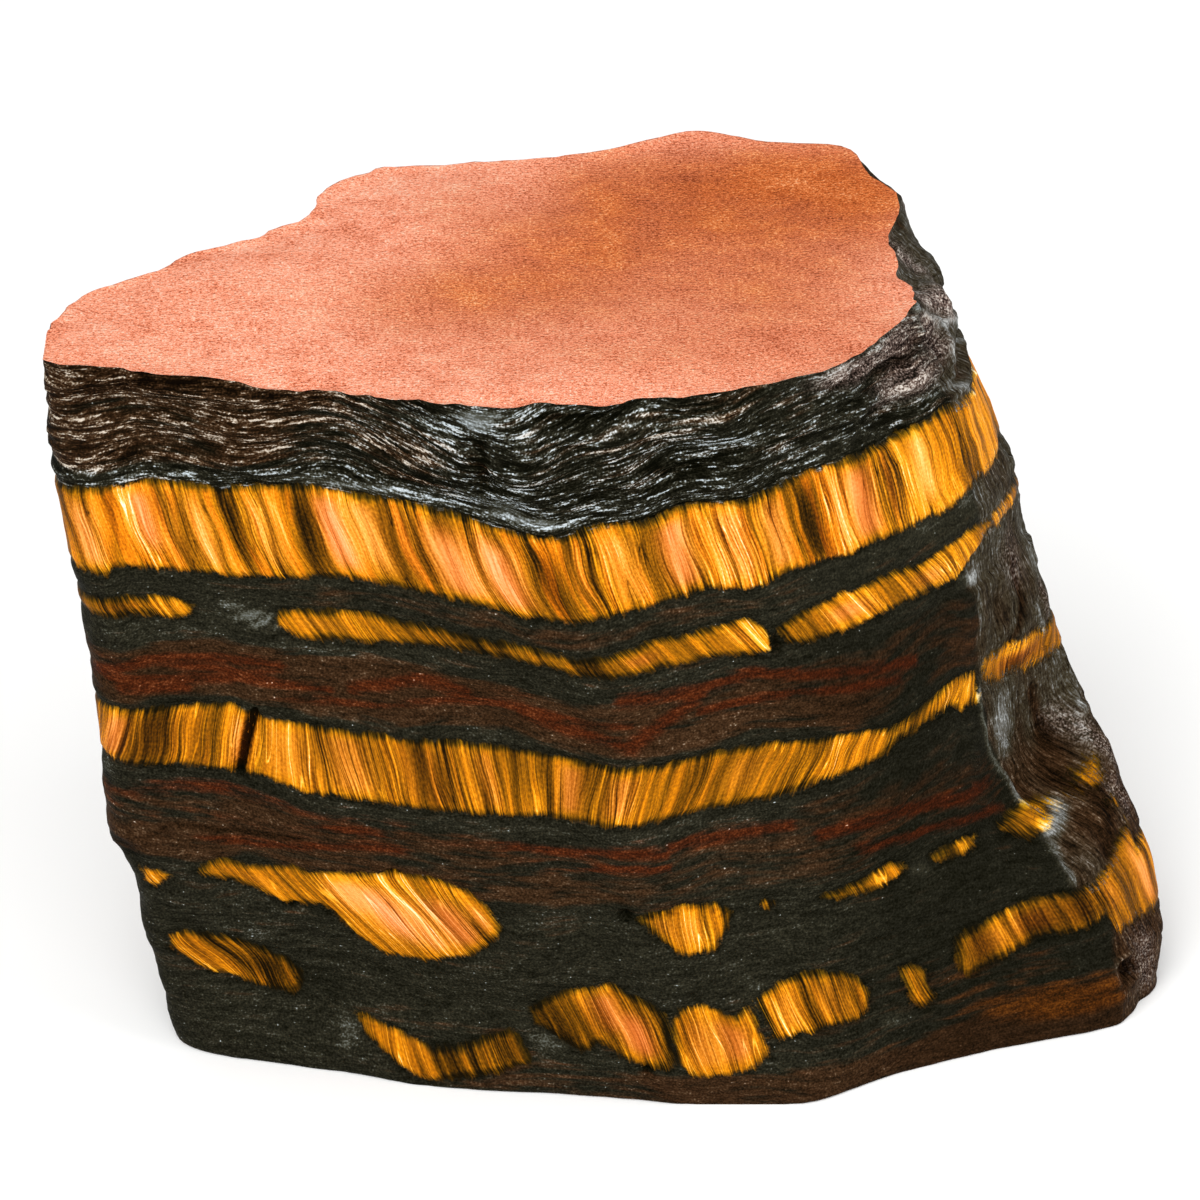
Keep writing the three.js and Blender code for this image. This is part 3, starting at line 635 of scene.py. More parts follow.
# Which beds are browner: from level, to level, and how brown at the left, the middle and the right.
UMBER_BEDS = [(-3, 2.6, 0.05, 0.8, 0.9), (3.4, 8, 0, 0.25, 0.1), (16.6, 22.4, 0.7, 0.6, 0.15),
              (29.4, 33.8, 0.95, 0.95, 0.4), (38, 39.4, 0.2, 0.7, 0), (48.4, 58, 0.85, 0.12, 0.3)]
UMBER_PLACES = [52, 76, 110]
BED_FADE = 0.8  # how far a browner bed fades over its edges
RIM_DIM = 0.3  # how much darker the wall is just under the rim, left of the shoulder
LOWER_DIM, SIDE_LESS = 0.3, 0.12  # and on the lower wall by the ridge, and how much less on the side


def spots(marks, across, level, u, z):
    """For each mark (pixel x, pixel y, half width, half height, ...): how near every place is to it."""
    for mark in marks:
        at_u, at_z = unrolled([mark[:2]])[0]
        column = int(np.argmin(np.abs(u[0] - at_u)))
        row = int(np.argmin(np.abs(z[:, column] - at_z)))
        du = np.abs(across - across[row, column]) / mark[2]
        dz = np.abs(level - level[row, column]) / mark[3]
        yield mark, np.exp(-(du**2) - dz**4)


def strongest(marks, across, level, u, z):
    """How strong the strongest mark is at every place; a mark's last number is its strength."""
    return np.max([mark[-1] * near for mark, near in spots(marks, across, level, u, z)], axis=0)


# ---------------------------------------------------------------- the wall's fields
# Stretches round the block, in millimetres: where each starts, is full, starts to fade and is gone.
FRONT = (30, 38, 116, 124)
DIM = (86, 98, 115, 119)  # beside the ridge
SHOULDER = (98, 104, 112, 122)
RIGHT_RIM = (94, 99, 130, 140)
JOIN = 4  # how near the columns' join, at the back, the side's look fades out
SPREAD = 2.3  # brings noise to a standard deviation of 1

# The bed level given to each edge of the two main seams.
LEVELS = [("third", "bottom", 24.0), ("third", "top", 28.5), ("first", "bottom", 40.0),
          ("first", "top", 47.0)]
LOWEST_LEVEL, HIGHEST_LEVEL = -3.0, 58.0
FRONT_END = 117  # past it the seams' course is the back's
COURSE_PASSES = 4  # that smooth the seams' course
WOBBLE, WOBBLE_LENGTH = 0.5, 9  # how far the beds leave the seams' course, and over what length
RIDGE_WOBBLE = 0.35  # how far the ridge leaves its line, and how wide its fade is
CREASE, CREASE_WIDTH, CREASE_DIP = 74.5, 6.0, 2.2  # where the front folds, and the dip of the highest beds


def course_of(seam, edge):
    """The height of a seam's edge at every column."""
    front = unrolled(SEAMS[seam][edge])
    back = np.array(SEAMS[seam]["back"])[:, [0, 1 if edge == "top" else 2]]
    line = np.concatenate([front[front[:, 0] < FRONT_END], back])
    line = line[np.argsort(line[:, 0] % GIRTH)]
    course = np.interp(ROUND, line[:, 0] % GIRTH, line[:, 1], period=GIRTH)
    for _ in range(COURSE_PASSES):
        course = evened(course)
    return course


def bedding(z):
    """Each place's bed level: its height, but with the seams' bends taken out."""
    courses = np.array([course_of(seam, edge) for seam, edge, _ in LEVELS])
    nominal = [LOWEST_LEVEL, *[level for _, _, level in LEVELS], HIGHEST_LEVEL]
    level = np.empty_like(z)
    for column in range(COLUMNS):
        at = [LOWEST_LEVEL, *courses[:, column], HIGHEST_LEVEL + courses[-1, column] - nominal[-2]]
        level[:, column] = np.interp(z[:, column], at, nominal)
    dip = np.exp(-(((ROUND - CREASE) / CREASE_WIDTH) ** 2)) * CREASE_DIP
    return level + dip * smoothstep(46.5, 50.0, z)


def right_side(u, z):
    """1 on the block's right side, 0 on its front, fading out towards its back."""
    ridge = unrolled(RIDGE)
    past = u - curve(z, ridge[np.argsort(ridge[:, 1]), ::-1]) + RIDGE_WOBBLE * noise(z * 0.7, 0, 0, 62)
    return smoothstep(-RIDGE_WOBBLE, RIDGE_WOBBLE, past) * smoothstep(152, 132, u)


def fields(points):
    """What the relief and the colours need to know about each place of the wall."""
    x, y, z = np.moveaxis(points, 2, 0)
    u = np.broadcast_to(ROUND, z.shape).copy()
    places = np.stack([u.ravel(), z.ravel()], 1)
    depth, fibre, share = [part.reshape(z.shape) for part in golden_seams(places)]
    level = bedding(z) + WOBBLE * noise(x / WOBBLE_LENGTH, y / WOBBLE_LENGTH, z / 5, 41)
    tone, peach, carved = np.zeros((3, *z.shape))
    # painted light: the marks' and lines' painted highlights and painted shade, with the wall also darker
    # just under the rim and on the lower wall by the ridge
    glint = -RIM_DIM * smoothstep(53.2, 54.4, z) * smoothstep(100, 90, u)
    # the gold's painted sheen and its own colour differences; the lines below add their painted light too
    for mark, near in spots(SHEEN_AND_TONES, fibre, level, u, z):
        tone += mark[4] * near
        peach = np.maximum(peach, mark[5] * near)
    for mark, near in spots(MARKS, u, z, u, z):
        carved += mark[4] * near
        glint += mark[5] * near
    for pixels, width, out, light in TRACES:
        near = nearness(places, pixels, width).reshape(z.shape)
        carved += out * near
        glint += light * near
        tone += light * near
    umber = np.zeros_like(z)
    for low, high, *brown in UMBER_BEDS:
        bed = stretch(level, low - BED_FADE, low + BED_FADE, high - BED_FADE, high + BED_FADE)
        umber = np.maximum(umber, bed * np.interp(u, UMBER_PLACES, brown))
    behind = 1 - stretch(u, *FRONT)
    patchy = 0.45 * behind * smoothstep(-0.2, 0.5, noise(u / 9, z / 14, 5, 42))
    side = np.maximum(right_side(u, z), patchy) * stretch(u, 0, JOIN, GIRTH - JOIN, GIRTH)
    glint -= (LOWER_DIM - SIDE_LESS * side) * stretch(u, *DIM) * smoothstep(37, 34, z)
    return {
        "u": u, "depth": depth, "fibre": fibre, "share": share, "level": level, "tone": tone,
        "peach": peach, "carved": carved, "glint": np.clip(glint, -1, 1), "umber": umber,
        "behind": behind, "side": side, "red": jasper(places).reshape(z.shape),
        "pale": strongest(PALE, u, z, u, z), "ember": strongest(EMBERS, u, level, u, z),
        "zone": SPREAD * noise(fibre * 0.4, level * 0.06, 0, 71),
        "lively": SPREAD * noise(fibre * 0.55, level * 0.12, 0, 72),
        "sway": SPREAD * noise(x * 0.2, y * 0.2, level * 0.45, 73),
        "clump": 1.6 * layered(u / 5.0, level / 9.0, 0, 74, 4),
    }


# ---------------------------------------------------------------- relief
BED_SEED = 5
BED_LEAST, BED_MOST = 0.7, 2.4  # thickness of the beds that stand out or back
CROWN = (46.5, 48.5)  # levels between which the rough crown starts
BACK_RELIEF = (116, 128)  # where the back's rougher relief starts, round the block
# From the rim's back round to its left end, nothing near the rim stands out past it.
NEAR_RIM, BACK_RIM, LEFT_RIM_END = (45, 51), (136, 150), 36
# How far each kind of relief stands out, in millimetres: everywhere, and how much more in some zones.
SWELLS = {"all": 0.22, "back": 0.3}
LEDGES = {"all": 0.16, "crown": 0.22, "shoulder": 0.3, "back": 0.4}
STRATA = {"all": 0.1, "crown": 0.2, "back": 0.08}
FOLDS = 0.35  # on the crown alone
GRAIN = 0.05
SEAM_GROOVE, GROOVE_WIDTH = 0.16, 0.3  # along the seams' edges
FIBRES = 0.06  # in the gold
HAIRS = 0.2  # down the right side
BREAKS = 0.16  # in the paler breaks
RIM_WAVES, RIM_RIPPLES = 0.2, 0.18
FOOT_EDGE = 0.3  # how much the foot's edge is worn round
UNDER_GOLD = 0.85  # how much of the rock's relief the gold goes without
LEDGE_LENGTH = 11  # how far round the block a bed stands out alike
BED_STEP = (0.7, 1.0)  # the part of a bed's thickness in which it turns into the next
NOTCH, NOTCH_AT, NOTCH_WIDTH = 0.25, 0.04, 0.08  # the groove at the bottom of a bed


def bed_edges():
    """The levels at which one bed ends and the next starts."""
    random = np.random.default_rng(BED_SEED)
    edges = [LOWEST_LEVEL]
    while edges[-1] < HIGHEST_LEVEL:
        edges.append(edges[-1] + random.uniform(BED_LEAST, BED_MOST))
    return np.array(edges)


def ledges(u, level):
    """How far each place's bed stands out, -1 to 1, with a crisp step where one bed ends."""
    edges = bed_edges()
    bed = np.clip(np.searchsorted(edges, level) - 1, 0, len(edges) - 2)
    share = (level - edges[bed]) / (edges[bed + 1] - edges[bed])
    step = smoothstep(*BED_STEP, share)
    this, above = [noise(u / LEDGE_LENGTH, number * 3.7, 0, 43) for number in (bed, bed + 1)]
    notch = NOTCH * np.exp(-(((share - NOTCH_AT) / NOTCH_WIDTH) ** 2))
    return (1 - step) * this + step * above - notch


def relief(points, f):
    """How far each place of the wall moves out, in millimetres."""
    x, y, z = np.moveaxis(points, 2, 0)
    u, level, depth, fibre = f["u"], f["level"], f["depth"], f["fibre"]
    gold = smoothstep(-0.1, 0.3, depth)
    rock = 1 - UNDER_GOLD * gold
    crown = smoothstep(*CROWN, level)
    back = f["behind"] * smoothstep(*BACK_RELIEF, from_front(u))
    zones = {"all": 1.0, "crown": crown, "shoulder": crown * stretch(u, *SHOULDER), "back": back}

    def size(kind):
        return sum(amount * zones[name] for name, amount in kind.items())

    # the rock's swells, ledges, folds, strata and grain
    move = size(SWELLS) * layered(x / 8, y / 8, z / 8, 44, 3)
    calm = 1 - 0.7 * smoothstep(112, 116, u) * smoothstep(46, 42, z) * (1 - back)
    move += calm * rock * size(LEDGES) * ledges(u, level)
    move += crown * FOLDS * layered(u / 5.0, level * 0.6, 0, 55, 2)
    move += rock * size(STRATA) * layered(x / 4.5, y / 4.5, level * 1.1, 45, 2)
    move += GRAIN * rock * layered(x * 0.9, y * 0.9, z * 0.9, 46, 2)

    # the seams' edges and fibres, and the side's grooves
    move -= SEAM_GROOVE * np.exp(-((depth / GROOVE_WIDTH) ** 2))
    move += gold * FIBRES * noise(fibre * 0.8, z * 0.05, 0, 47)
    grooves = noise(fibre * 0.75, z / 7, 0, 48) + 0.5 * noise(fibre * 1.3, z / 4, 0, 49)
    move += HAIRS * f["side"] * (1 - 0.4 * gold) * grooves

    # just under the rim on the right all that is evened out, and the marks and the side edges are added
    near_rim = smoothstep(52.8, 54.0, z) * stretch(u, *RIGHT_RIM)
    even = sum(np.roll(move, k, axis=1) for k in range(-4, 5)) / 9
    move += near_rim * (even - move) + f["carved"]
    for at, width, course in EDGES.values():
        move += curve(z, course) * np.exp(-(((u - at) / width) ** 2))

    # the worn foot, the uneven rim and the breaks
    worn = np.clip(1 - z / FOOT_EDGE, 0, 1)
    move -= FOOT_EDGE * (1 - np.sqrt(1 - worn**2))
    edge = smoothstep(52.6, 54.6, z) * (1 - 0.6 * smoothstep(98, 104, u))
    move += edge * (RIM_WAVES * noise(u * 0.45, 0, 0, 53) + RIM_RIPPLES * noise(u * 1.1, 0, 0, 54))
    move += BREAKS * f["pale"] * (1 - near_rim) * layered(x * 1.1, y * 1.1, z * 1.1, 56, 2)

    # or the wall would show over the rim
    past_rim = np.maximum(move - move[-1], 0.0)
    return move - past_rim * smoothstep(*NEAR_RIM, z) * smoothstep(*BACK_RIM, from_front(u, LEFT_RIM_END))


# ---------------------------------------------------------------- the stone as one closed mesh
TOP_GRAIN, TOP_WAVES, TOP_SUNK = 0.05, 0.12, 0.15  # the sawn top's roughness, and how low it lies
WALL, TOP, BASE = range(3)  # the parts of the mesh
ON_CAPS = {"depth": OUTSIDE, "umber": 0.8}  # the fields that aren't 0 on the top and the base
# The fields that the materials read. An attribute of the mesh holds three of them, which renders faster
# than one each; the last holds its first one twice.
STORED = [("fibre", "depth", "share"), ("x", "y", "level"), ("red", "glint", "side"),
          ("tone", "peach", "pale"), ("umber", "u", "ember"), ("zone", "lively", "sway"),
          ("brown", "clump", "brown")]


def rings(edge, shares):
    """Rings of points inside an edge, at these shares of the way to its middle."""
    middle = np.append(edge[:, :2].mean(0), 0.0)
    return np.array([edge + share * (middle - edge) for share in shares])


def caps(rim, foot):
    """Rings of points over the top and under the base."""
    top = rings(rim, TOP_SHARES)
    solid = np.array([[height_of_top(p[0], p[1]) for p in ring] for ring in top])
    solid = smooth_grid(np.maximum(solid, LOWEST_TOP))
    x, y, _ = np.moveaxis(top, 2, 0)
    grain = TOP_GRAIN * layered(x * 0.9, y * 0.9, 0, 51, 2)
    waves = TOP_WAVES * noise(x / 6, y / 6, 0, 52)
    inside = smoothstep(0.0, 0.06, np.array(TOP_SHARES))[:, None]
    top[..., 2] = rim[:, 2] + inside * (solid + grain + waves - TOP_SUNK - rim[:, 2])
    base = rings(foot, BASE_SHARES)
    base[..., 2] = 0.0
    return top, base


def quads(first_row, second_row):
    """The quads between two rows of a grid whose columns close on themselves."""
    j = np.arange(COLUMNS)
    k = (j + 1) % COLUMNS
    return np.stack([first_row + j, first_row + k, second_row + k, second_row + j], 1)


def fan(row, middle):
    """The triangles between a row and a point."""
    j = np.arange(COLUMNS)
    return np.stack([row + j, row + (j + 1) % COLUMNS, np.full(COLUMNS, middle)], 1)


def stone_mesh(wall, top, base):
    """One mesh out of the wall, the top and the base, and its points in millimetres."""
    middles = [[cap[-1].mean(0)] for cap in (top, base)]
    points = np.concatenate([*[grid.reshape(-1, 3) for grid in (wall, top, base)], *middles])
    up = np.arange(len(wall) + len(top)) * COLUMNS
    down = np.append(0, up[-1] + COLUMNS * np.arange(1, len(base) + 1))
    faces = [quads(*pair) for pair in zip(up[:-1], up[1:])]
    faces += [quads(*pair)[:, ::-1] for pair in zip(down[:-1], down[1:])]
    fans = [fan(up[-1], len(points) - 2), fan(down[-1], len(points) - 1)[:, [1, 0, 2]]]
    mesh = bpy.data.meshes.new("stone")
    mesh.from_pydata((points * MM).tolist(), [], [face for part in faces + fans for face in part.tolist()])
    for polygon in mesh.polygons:
        polygon.use_smooth = True
    return mesh, points


class Faces:
    """The corners of a mesh's faces."""

    def __init__(self, mesh):
        self.corner = np.empty(len(mesh.loops), np.int64)
        mesh.loops.foreach_get("vertex_index", self.corner)
        self.start = np.empty(len(mesh.polygons), np.int64)
        mesh.polygons.foreach_get("loop_start", self.start)
        self.size = np.diff(np.append(self.start, len(self.corner)))

    def least(self, values):
        return np.minimum.reduceat(values, self.start)

    def most(self, values):
        return np.maximum.reduceat(values, self.start)

    def shared(self, values):
        """Each face's value, for all its corners."""
        return np.repeat(values, self.size)


# The layout of the picture that the materials are baked to, in millimetres: the wall in two strips, one
# over the other, with the top and the base beside them.
FRONT_STRIP_FROM = 33.0
STRIP_GAP = 1.0
BASE_SCALE = 0.62


def layout(mesh, faces, points, part, round_of):
    """Lays each face of the mesh out in a flat picture, for baking."""
    half = GIRTH / 2
    along = (round_of[faces.corner] - FRONT_STRIP_FROM) % GIRTH
    # a face that the strips' start runs through keeps its corners together
    wraps = faces.shared(faces.most(along) - faces.least(along) > half)
    along = np.where(wraps & (along < half), along + GIRTH, along)
    back = faces.shared(faces.least(along) >= half)
    part = faces.shared(faces.most(part[faces.corner]))
    x, y, z = (points[faces.corner] - points.min(0)).T
    deep, wide, _ = points.max(0) - points.min(0)
    beside = half + 3 * STRIP_GAP
    u = np.choose(part, [along - half * back + STRIP_GAP, beside + y, beside + y * BASE_SCALE])
    v = np.choose(part, [z + STRIP_GAP + (HEIGHT + 2 * STRIP_GAP) * back, STRIP_GAP + deep - x,
                         3 * STRIP_GAP + deep + x * BASE_SCALE])
    uv = mesh.uv_layers.new(name="OFBake")
    uv.data.foreach_set("uv", (np.stack([u, v], 1) / (beside + STRIP_GAP + wide)).ravel())


MIXED, DARK, GOLDEN, SAWN = range(4)  # the materials, in their order on the stone
CLEAR = 0.5  # millimetres from a seam's edge beyond which only gold, or only rock, shows
UNBROKEN = 0.002


def choose_materials(mesh, faces, part, at):
    """Gives each face the plainest material that shows all it has."""
    depth = at["depth"][faces.corner]
    broken = faces.most(np.maximum(at["side"], at["pale"])[faces.corner])
    sawn = faces.most((part == TOP)[faces.corner].astype(int)) == 1
    dark = (faces.most(depth) < -CLEAR) & (broken < UNBROKEN)
    kind = np.select([sawn, faces.least(depth) > CLEAR, dark], [SAWN, GOLDEN, DARK], MIXED)
    mesh.polygons.foreach_set("material_index", kind.astype(np.int32))


def brown_top(points):
    """How brown the top is at each point, 0 to 1."""
    brown = np.zeros(len(points))
    for px, py, wide, deep, strength in TOP_TONES:
        x, y, _ = on_stone([(px, py)])[0]
        near = np.exp(-(((points[:, 0] - x) / wide) ** 2) - ((points[:, 1] - y) / deep) ** 2)
        brown = 1 - (1 - brown) * (1 - 0.6 * strength * near)
    return smoothstep(0.0, 1.1, brown)


def build_stone():
    """The dressed stone: the solid's shape, with its beds, seams and breaks."""
    wall = wall_grid()
    f = fields(wall)
    wall = wall + relief(wall, f)[..., None] * outward(wall)
    wall[0, :, 2] = 0.0
    top, base = caps(wall[-1], wall[0])
    low, high = [np.array(corner) / MM for corner in cad_box]
    for grid in (wall, top):
        np.clip(grid, low, high, out=grid)
    mesh, points = stone_mesh(wall, top, base)
    on_wall = wall[..., 0].size
    at = {}
    for name, values in f.items():
        at[name] = np.full(len(points), ON_CAPS.get(name, 0.0))
        at[name][:on_wall] = values.ravel()
    at["x"], at["y"] = points[:, 0], points[:, 1]
    at["level"][on_wall:] = points[on_wall:, 2]
    at["brown"] = brown_top(points)
    for names in STORED:
        stored = mesh.attributes.new("_".join(names), "FLOAT_VECTOR", "POINT")
        stored.data.foreach_set("vector", np.stack([at[name] for name in names], 1).ravel())
    part = np.repeat([WALL, TOP, BASE, TOP, BASE], [on_wall, top[..., 0].size, base[..., 0].size, 1, 1])
    faces = Faces(mesh)
    layout(mesh, faces, points, part, at["u"])
    choose_materials(mesh, faces, part, at)
    stone = bpy.data.objects.new("banded_stone", mesh)
    bpy.context.collection.objects.link(stone)
    return stone


# ---------------------------------------------------------------- materials
def linear(colour):
    """An RRGGBB colour as the shader's linear numbers."""
    parts = [part / 255 for part in bytes.fromhex(colour)]
    return tuple(p / 12.92 if p <= 0.04045 else ((p + 0.055) / 1.055) ** 2.4 for p in parts) + (1.0,)


class Value:
    """Something that a material works out, for use in sums and products."""

    def __init__(self, graph, socket):
        self.graph, self.socket = graph, socket

    def __add__(self, other):
        return self.graph.math("ADD", self, other)

    def __mul__(self, other):
        return self.graph.math("MULTIPLY", self, other)

    __radd__ = __add__


class Graph:
    """A material's nodes, written as expressions."""

    def __init__(self, name):
        self.material = bpy.data.materials.new(name)
        self.material.use_nodes = True
        self.tree = self.material.node_tree
        self.tree.nodes.clear()
        self.stored = {}

    def node(self, kind, inputs, **settings):
        made = self.tree.nodes.new(kind)
        for name, value in settings.items():
            setattr(made, name, value)
        for key, value in inputs.items():
            if isinstance(value, Value):
                self.tree.links.new(value.socket, made.inputs[key])
            else:
                made.inputs[key].default_value = value
        return made

    def value(self, kind, inputs, output=0, **settings):
        """What a new node puts out."""
        return Value(self, self.node(kind, inputs, **settings).outputs[output])

    def fields(self, wanted):
        """The stored fields with these names."""
        for name in wanted.split():
            names = next(names for names in STORED if name in names)
            if names not in self.stored:
                vector = self.value("ShaderNodeAttribute", {}, "Vector", attribute_name="_".join(names))
                self.stored[names] = self.node("ShaderNodeSeparateXYZ", {0: vector})
            yield Value(self, self.stored[names].outputs[names.index(name)])

    def math(self, operation, *values):
        return self.value("ShaderNodeMath", dict(enumerate(values)), operation=operation)

    def line(self, value, slope, start):
        return self.math("MULTIPLY_ADD", value, slope, start)

    def fit(self, value, low, high, to_low=0.0, to_high=1.0):
        """A smooth step from to_low to to_high as value goes from low to high."""
        inputs = dict(enumerate((value, low, high, to_low, to_high)))
        return self.value("ShaderNodeMapRange", inputs, interpolation_type="SMOOTHSTEP")

    def blend(self, share, first, second):
        """A smooth step from first to second as share goes from 0 to 1."""
        return self.fit(share, 0.0, 1.0, first, second)

    def noise(self, place, detail=1.0, roughness=0.5):
        """Noise from 0 to 1, mostly from 0.3 to 0.7, at a place of two or three numbers."""
        vector = self.value("ShaderNodeCombineXYZ", dict(enumerate(place)))
        inputs = {"Vector": vector, "Scale": 1.0, "Detail": detail, "Roughness": roughness}
        return self.value("ShaderNodeTexNoise", inputs, noise_dimensions=f"{len(place)}D")

    def grit(self, place, detail=1.0, roughness=0.5):
        """Noise round 0, mostly from -2 to 2."""
        return self.line(self.noise(place, detail, roughness), 9.0, -4.5)

    def lines(self, place, width):
        """1 along thin lines where noise crosses its middle, 0 elsewhere."""
        off = self.math("ABSOLUTE", self.math("SUBTRACT", self.noise(place, 0.0), 0.5))
        return self.fit(off, 0.0, width, 1.0, 0.0)

    def mix(self, share, first, second):
        """Two colours mixed: the first at share 0, the second at 1."""
        return self.value("ShaderNodeMix", {0: share, 6: first, 7: second}, 2, data_type="RGBA")

    def ramp(self, value, colours):
        """A colour ramp, from its stops' places and their colours."""
        made = self.node("ShaderNodeValToRGB", {0: value})
        elements = made.color_ramp.elements
        places, colours = colours
        while len(elements) < len(places):
            elements.new(0.5)
        for element, place, colour in zip(elements, places, colours.split()):
            element.position = place
            element.color = linear(colour)
        return Value(self, made.outputs[0])

    def finish(self, colour, roughness, specular, **normal):
        """The material with this surface."""
        inputs = {"Base Color": colour, "Roughness": roughness, **normal}
        shader = self.node("ShaderNodeBsdfPrincipled", inputs)
        shader.inputs["Specular IOR Level"].default_value = specular
        self.node("ShaderNodeOutputMaterial", {0: Value(self, shader.outputs[0])})
        return self.material

    def stone(self, colour, roughness, height):
        """The material of a stone surface; height is how high each place stands, in millimetres."""
        bump = self.value("ShaderNodeBump", {"Strength": 1.0, "Distance": MM, "Height": height})
        return self.finish(colour, roughness, SPECULAR, Normal=bump)


SPECULAR = 0.02
GOLD_ROUGH, ROCK_ROUGH, TOP_ROUGH, FLOOR_ROUGH = 0.48, 0.6, 0.75, 0.9
# the painted light also makes the rock smoother at painted highlights and rougher at painted shade
PAINTED_LIGHT_ROUGH = -0.2  # what a glint adds
# How high the finest detail stands, in millimetres; WRINKLES on the wall and on the crown.
THREADS, WRINKLES, HAIR, SAND = 0.013, (0.018, 0.05), 0.04, 0.03
# Colour ramps: where the stops are, and their colours.
SILKY = (0.0, 0.12, 0.25, 0.36, 0.46, 0.55, 0.64, 0.74, 0.86, 1.0)
ROCKY = (0.0, 0.16, 0.32, 0.5, 0.64, 0.8, 1.0)
SANDY = (0.0, 0.2, 0.38, 0.5, 0.62, 0.8, 1.0)
GOLD = (SILKY, "120900 311D02 5A3602 7E4C05 A16307 C27A07 DE9110 F0A820 F8C554 FDEDC0")
ORANGE = (SILKY, "140700 351502 632A02 8A4303 B05806 D06D09 E78114 F4982E FBB862 FEE6C4")
PEACH = ((0.1, 0.25, 0.36, 0.46, 0.55, 0.64, 0.74, 0.86, 1.0),
         "4E1D03 80360C AA4F1A CE6A2E E68548 F39C66 FAB282 FDCBA2 FFEBD6")
OLIVE = ((0.1, 0.3, 0.5, 0.7, 0.9), "0E0A01 281F03 524005 85650A BE941E")
# the umber and slate ramps' lightest stops are mostly painted highlights, where the hematite shines
UMBER = (ROCKY, "080300 180D03 29190B 3C2817 5A4734 8C7C6A C8BCAC")
SLATE = (ROCKY, "040400 0E0D05 191810 29271C 4A4B42 7A7F7E BCC6CB")
REDDISH = ((0.0, 0.16, 0.34, 0.5, 0.66, 0.82, 1.0), "100400 200A01 351304 4A1F09 6A381C 94664A C8A48C")
EMBER = ((0.0, 0.3, 0.5, 0.7, 1.0), "120801 251202 401F04 5E3208 80490F")
HAIRY = ((0.0, 0.16, 0.32, 0.5, 0.68, 0.84, 1.0), "0C0904 1C160C 2A2317 3C3628 5A5852 888A88 C2C4C2")
BROKEN = ((0.0, 0.16, 0.34, 0.5, 0.7, 0.9), "120C08 302520 4F403A 6C5A52 94837A CDC2B8")
SALMON = (SANDY, "A04A2C D07250 EE9270 FAA07F FFB092 FFC8AE FFE2CE")
EARTHY = (SANDY, "6E2E0E 9A481A B65826 C4622E D2723C EA8C50 F8B484")
UPPER_SEAM = (38.0, 40.5)  # levels between which the gold's look turns to the upper seam's
GOLD_SHADES = (0.425, 0.485)  # of the lower seams and the upper one, as places on the ramps
CROWN_LOOK = (44.6, 46.0)  # levels between which the rock's look turns to the crown's
ROCK_SHADES = (0.36, 0.43)  # of the wall and the crown
SIDE_SHADE, BROKEN_SHADE, TOP_SHADE = 0.45, 0.5, 0.5


def gold_colour(g):
    """The silky fibres of a golden seam: their colour, with their chatoyant sheen painted in as lighter and
    darker zones and threads, how high each stands, and its finest threads.
    """
    fibre, level, depth, share = g.fields("fibre level depth share")
    tone, peach, zone, lively = g.fields("tone peach zone lively")

    def fibres(lay, across, along, seed, detail=1.0):
        return g.grit((g.line(lay, across, seed), level * along), detail)

    lay = fibre + fibres(fibre, 0.45, 0.25, 3.0, 0.0) * 0.07
    fine = fibres(lay, 8.5, 0.26, 7.0, 0.0)
    thread = fibres(lay, 3.6, 0.12, 17.0, 2.0)
    streak = fibres(lay, 1.15, 0.08, 27.0)
    grain = fibres(lay, 7.0, 4.5, 47.0, 0.0)
    bright = g.lines((g.line(lay, 1.9, 57.0), level * 0.1), 0.035) * g.fit(zone, -0.8, 1.2)
    dark = g.lines((g.line(lay, 1.6, 67.0), level * 0.1), 0.03) * g.fit(streak, 0.9, -0.9)
    upper = g.fit(level, *UPPER_SEAM)
    texture = ((fine * 0.32 + thread * 0.36) * g.fit(lively, -1.0, 1.0, 0.5, 1.3) + streak * 0.5
               + zone * 0.42 + grain * 0.14)
    # the lower seams sit lower on the ramps and the gold darkens towards the foot: partly the seams' own
    # colour, partly painted shade, as less light reaches low on the wall
    shade = (g.blend(upper, *GOLD_SHADES)
             + texture * g.fit(peach, 0.1, 0.8, 0.155, 0.085) * g.blend(upper, 0.85, 1.0) + tone * 0.7
             + bright * g.blend(upper, 0.3, 0.2) + dark * g.blend(upper, -0.1, -0.2)
             + g.fit(level, 7.0, 12.0, -0.06, 0.0))
    border = depth + thread * 0.07 + zone * 0.08
    # the gold darkens towards its edges: painted shade where the seam meets its groove
    shade = shade + g.fit(border, -0.05, 0.5, -0.18, 0.0)
    orange = (g.fit(streak + zone, -1.0, 1.2) * g.blend(upper, 0.3, 0.75)
              * g.fit(fibre, 96.0, 106.0, 1.0, 0.4))
    gold = g.mix(orange, g.ramp(shade, GOLD), g.ramp(shade, ORANGE))
    gold = g.mix(peach * g.fit(depth, 0.3, 1.3) * 0.9, gold, g.ramp(shade, PEACH))
    olive = g.fit(border, 0.0, 0.65, 0.85, 0.0) * g.fit(share, 0.1, 0.6, 0.65, 1.0)
    gold = g.mix(olive, gold, g.ramp(shade + 0.08, OLIVE))
    return gold, (fine * 0.4 + thread * 0.55) * THREADS, thread


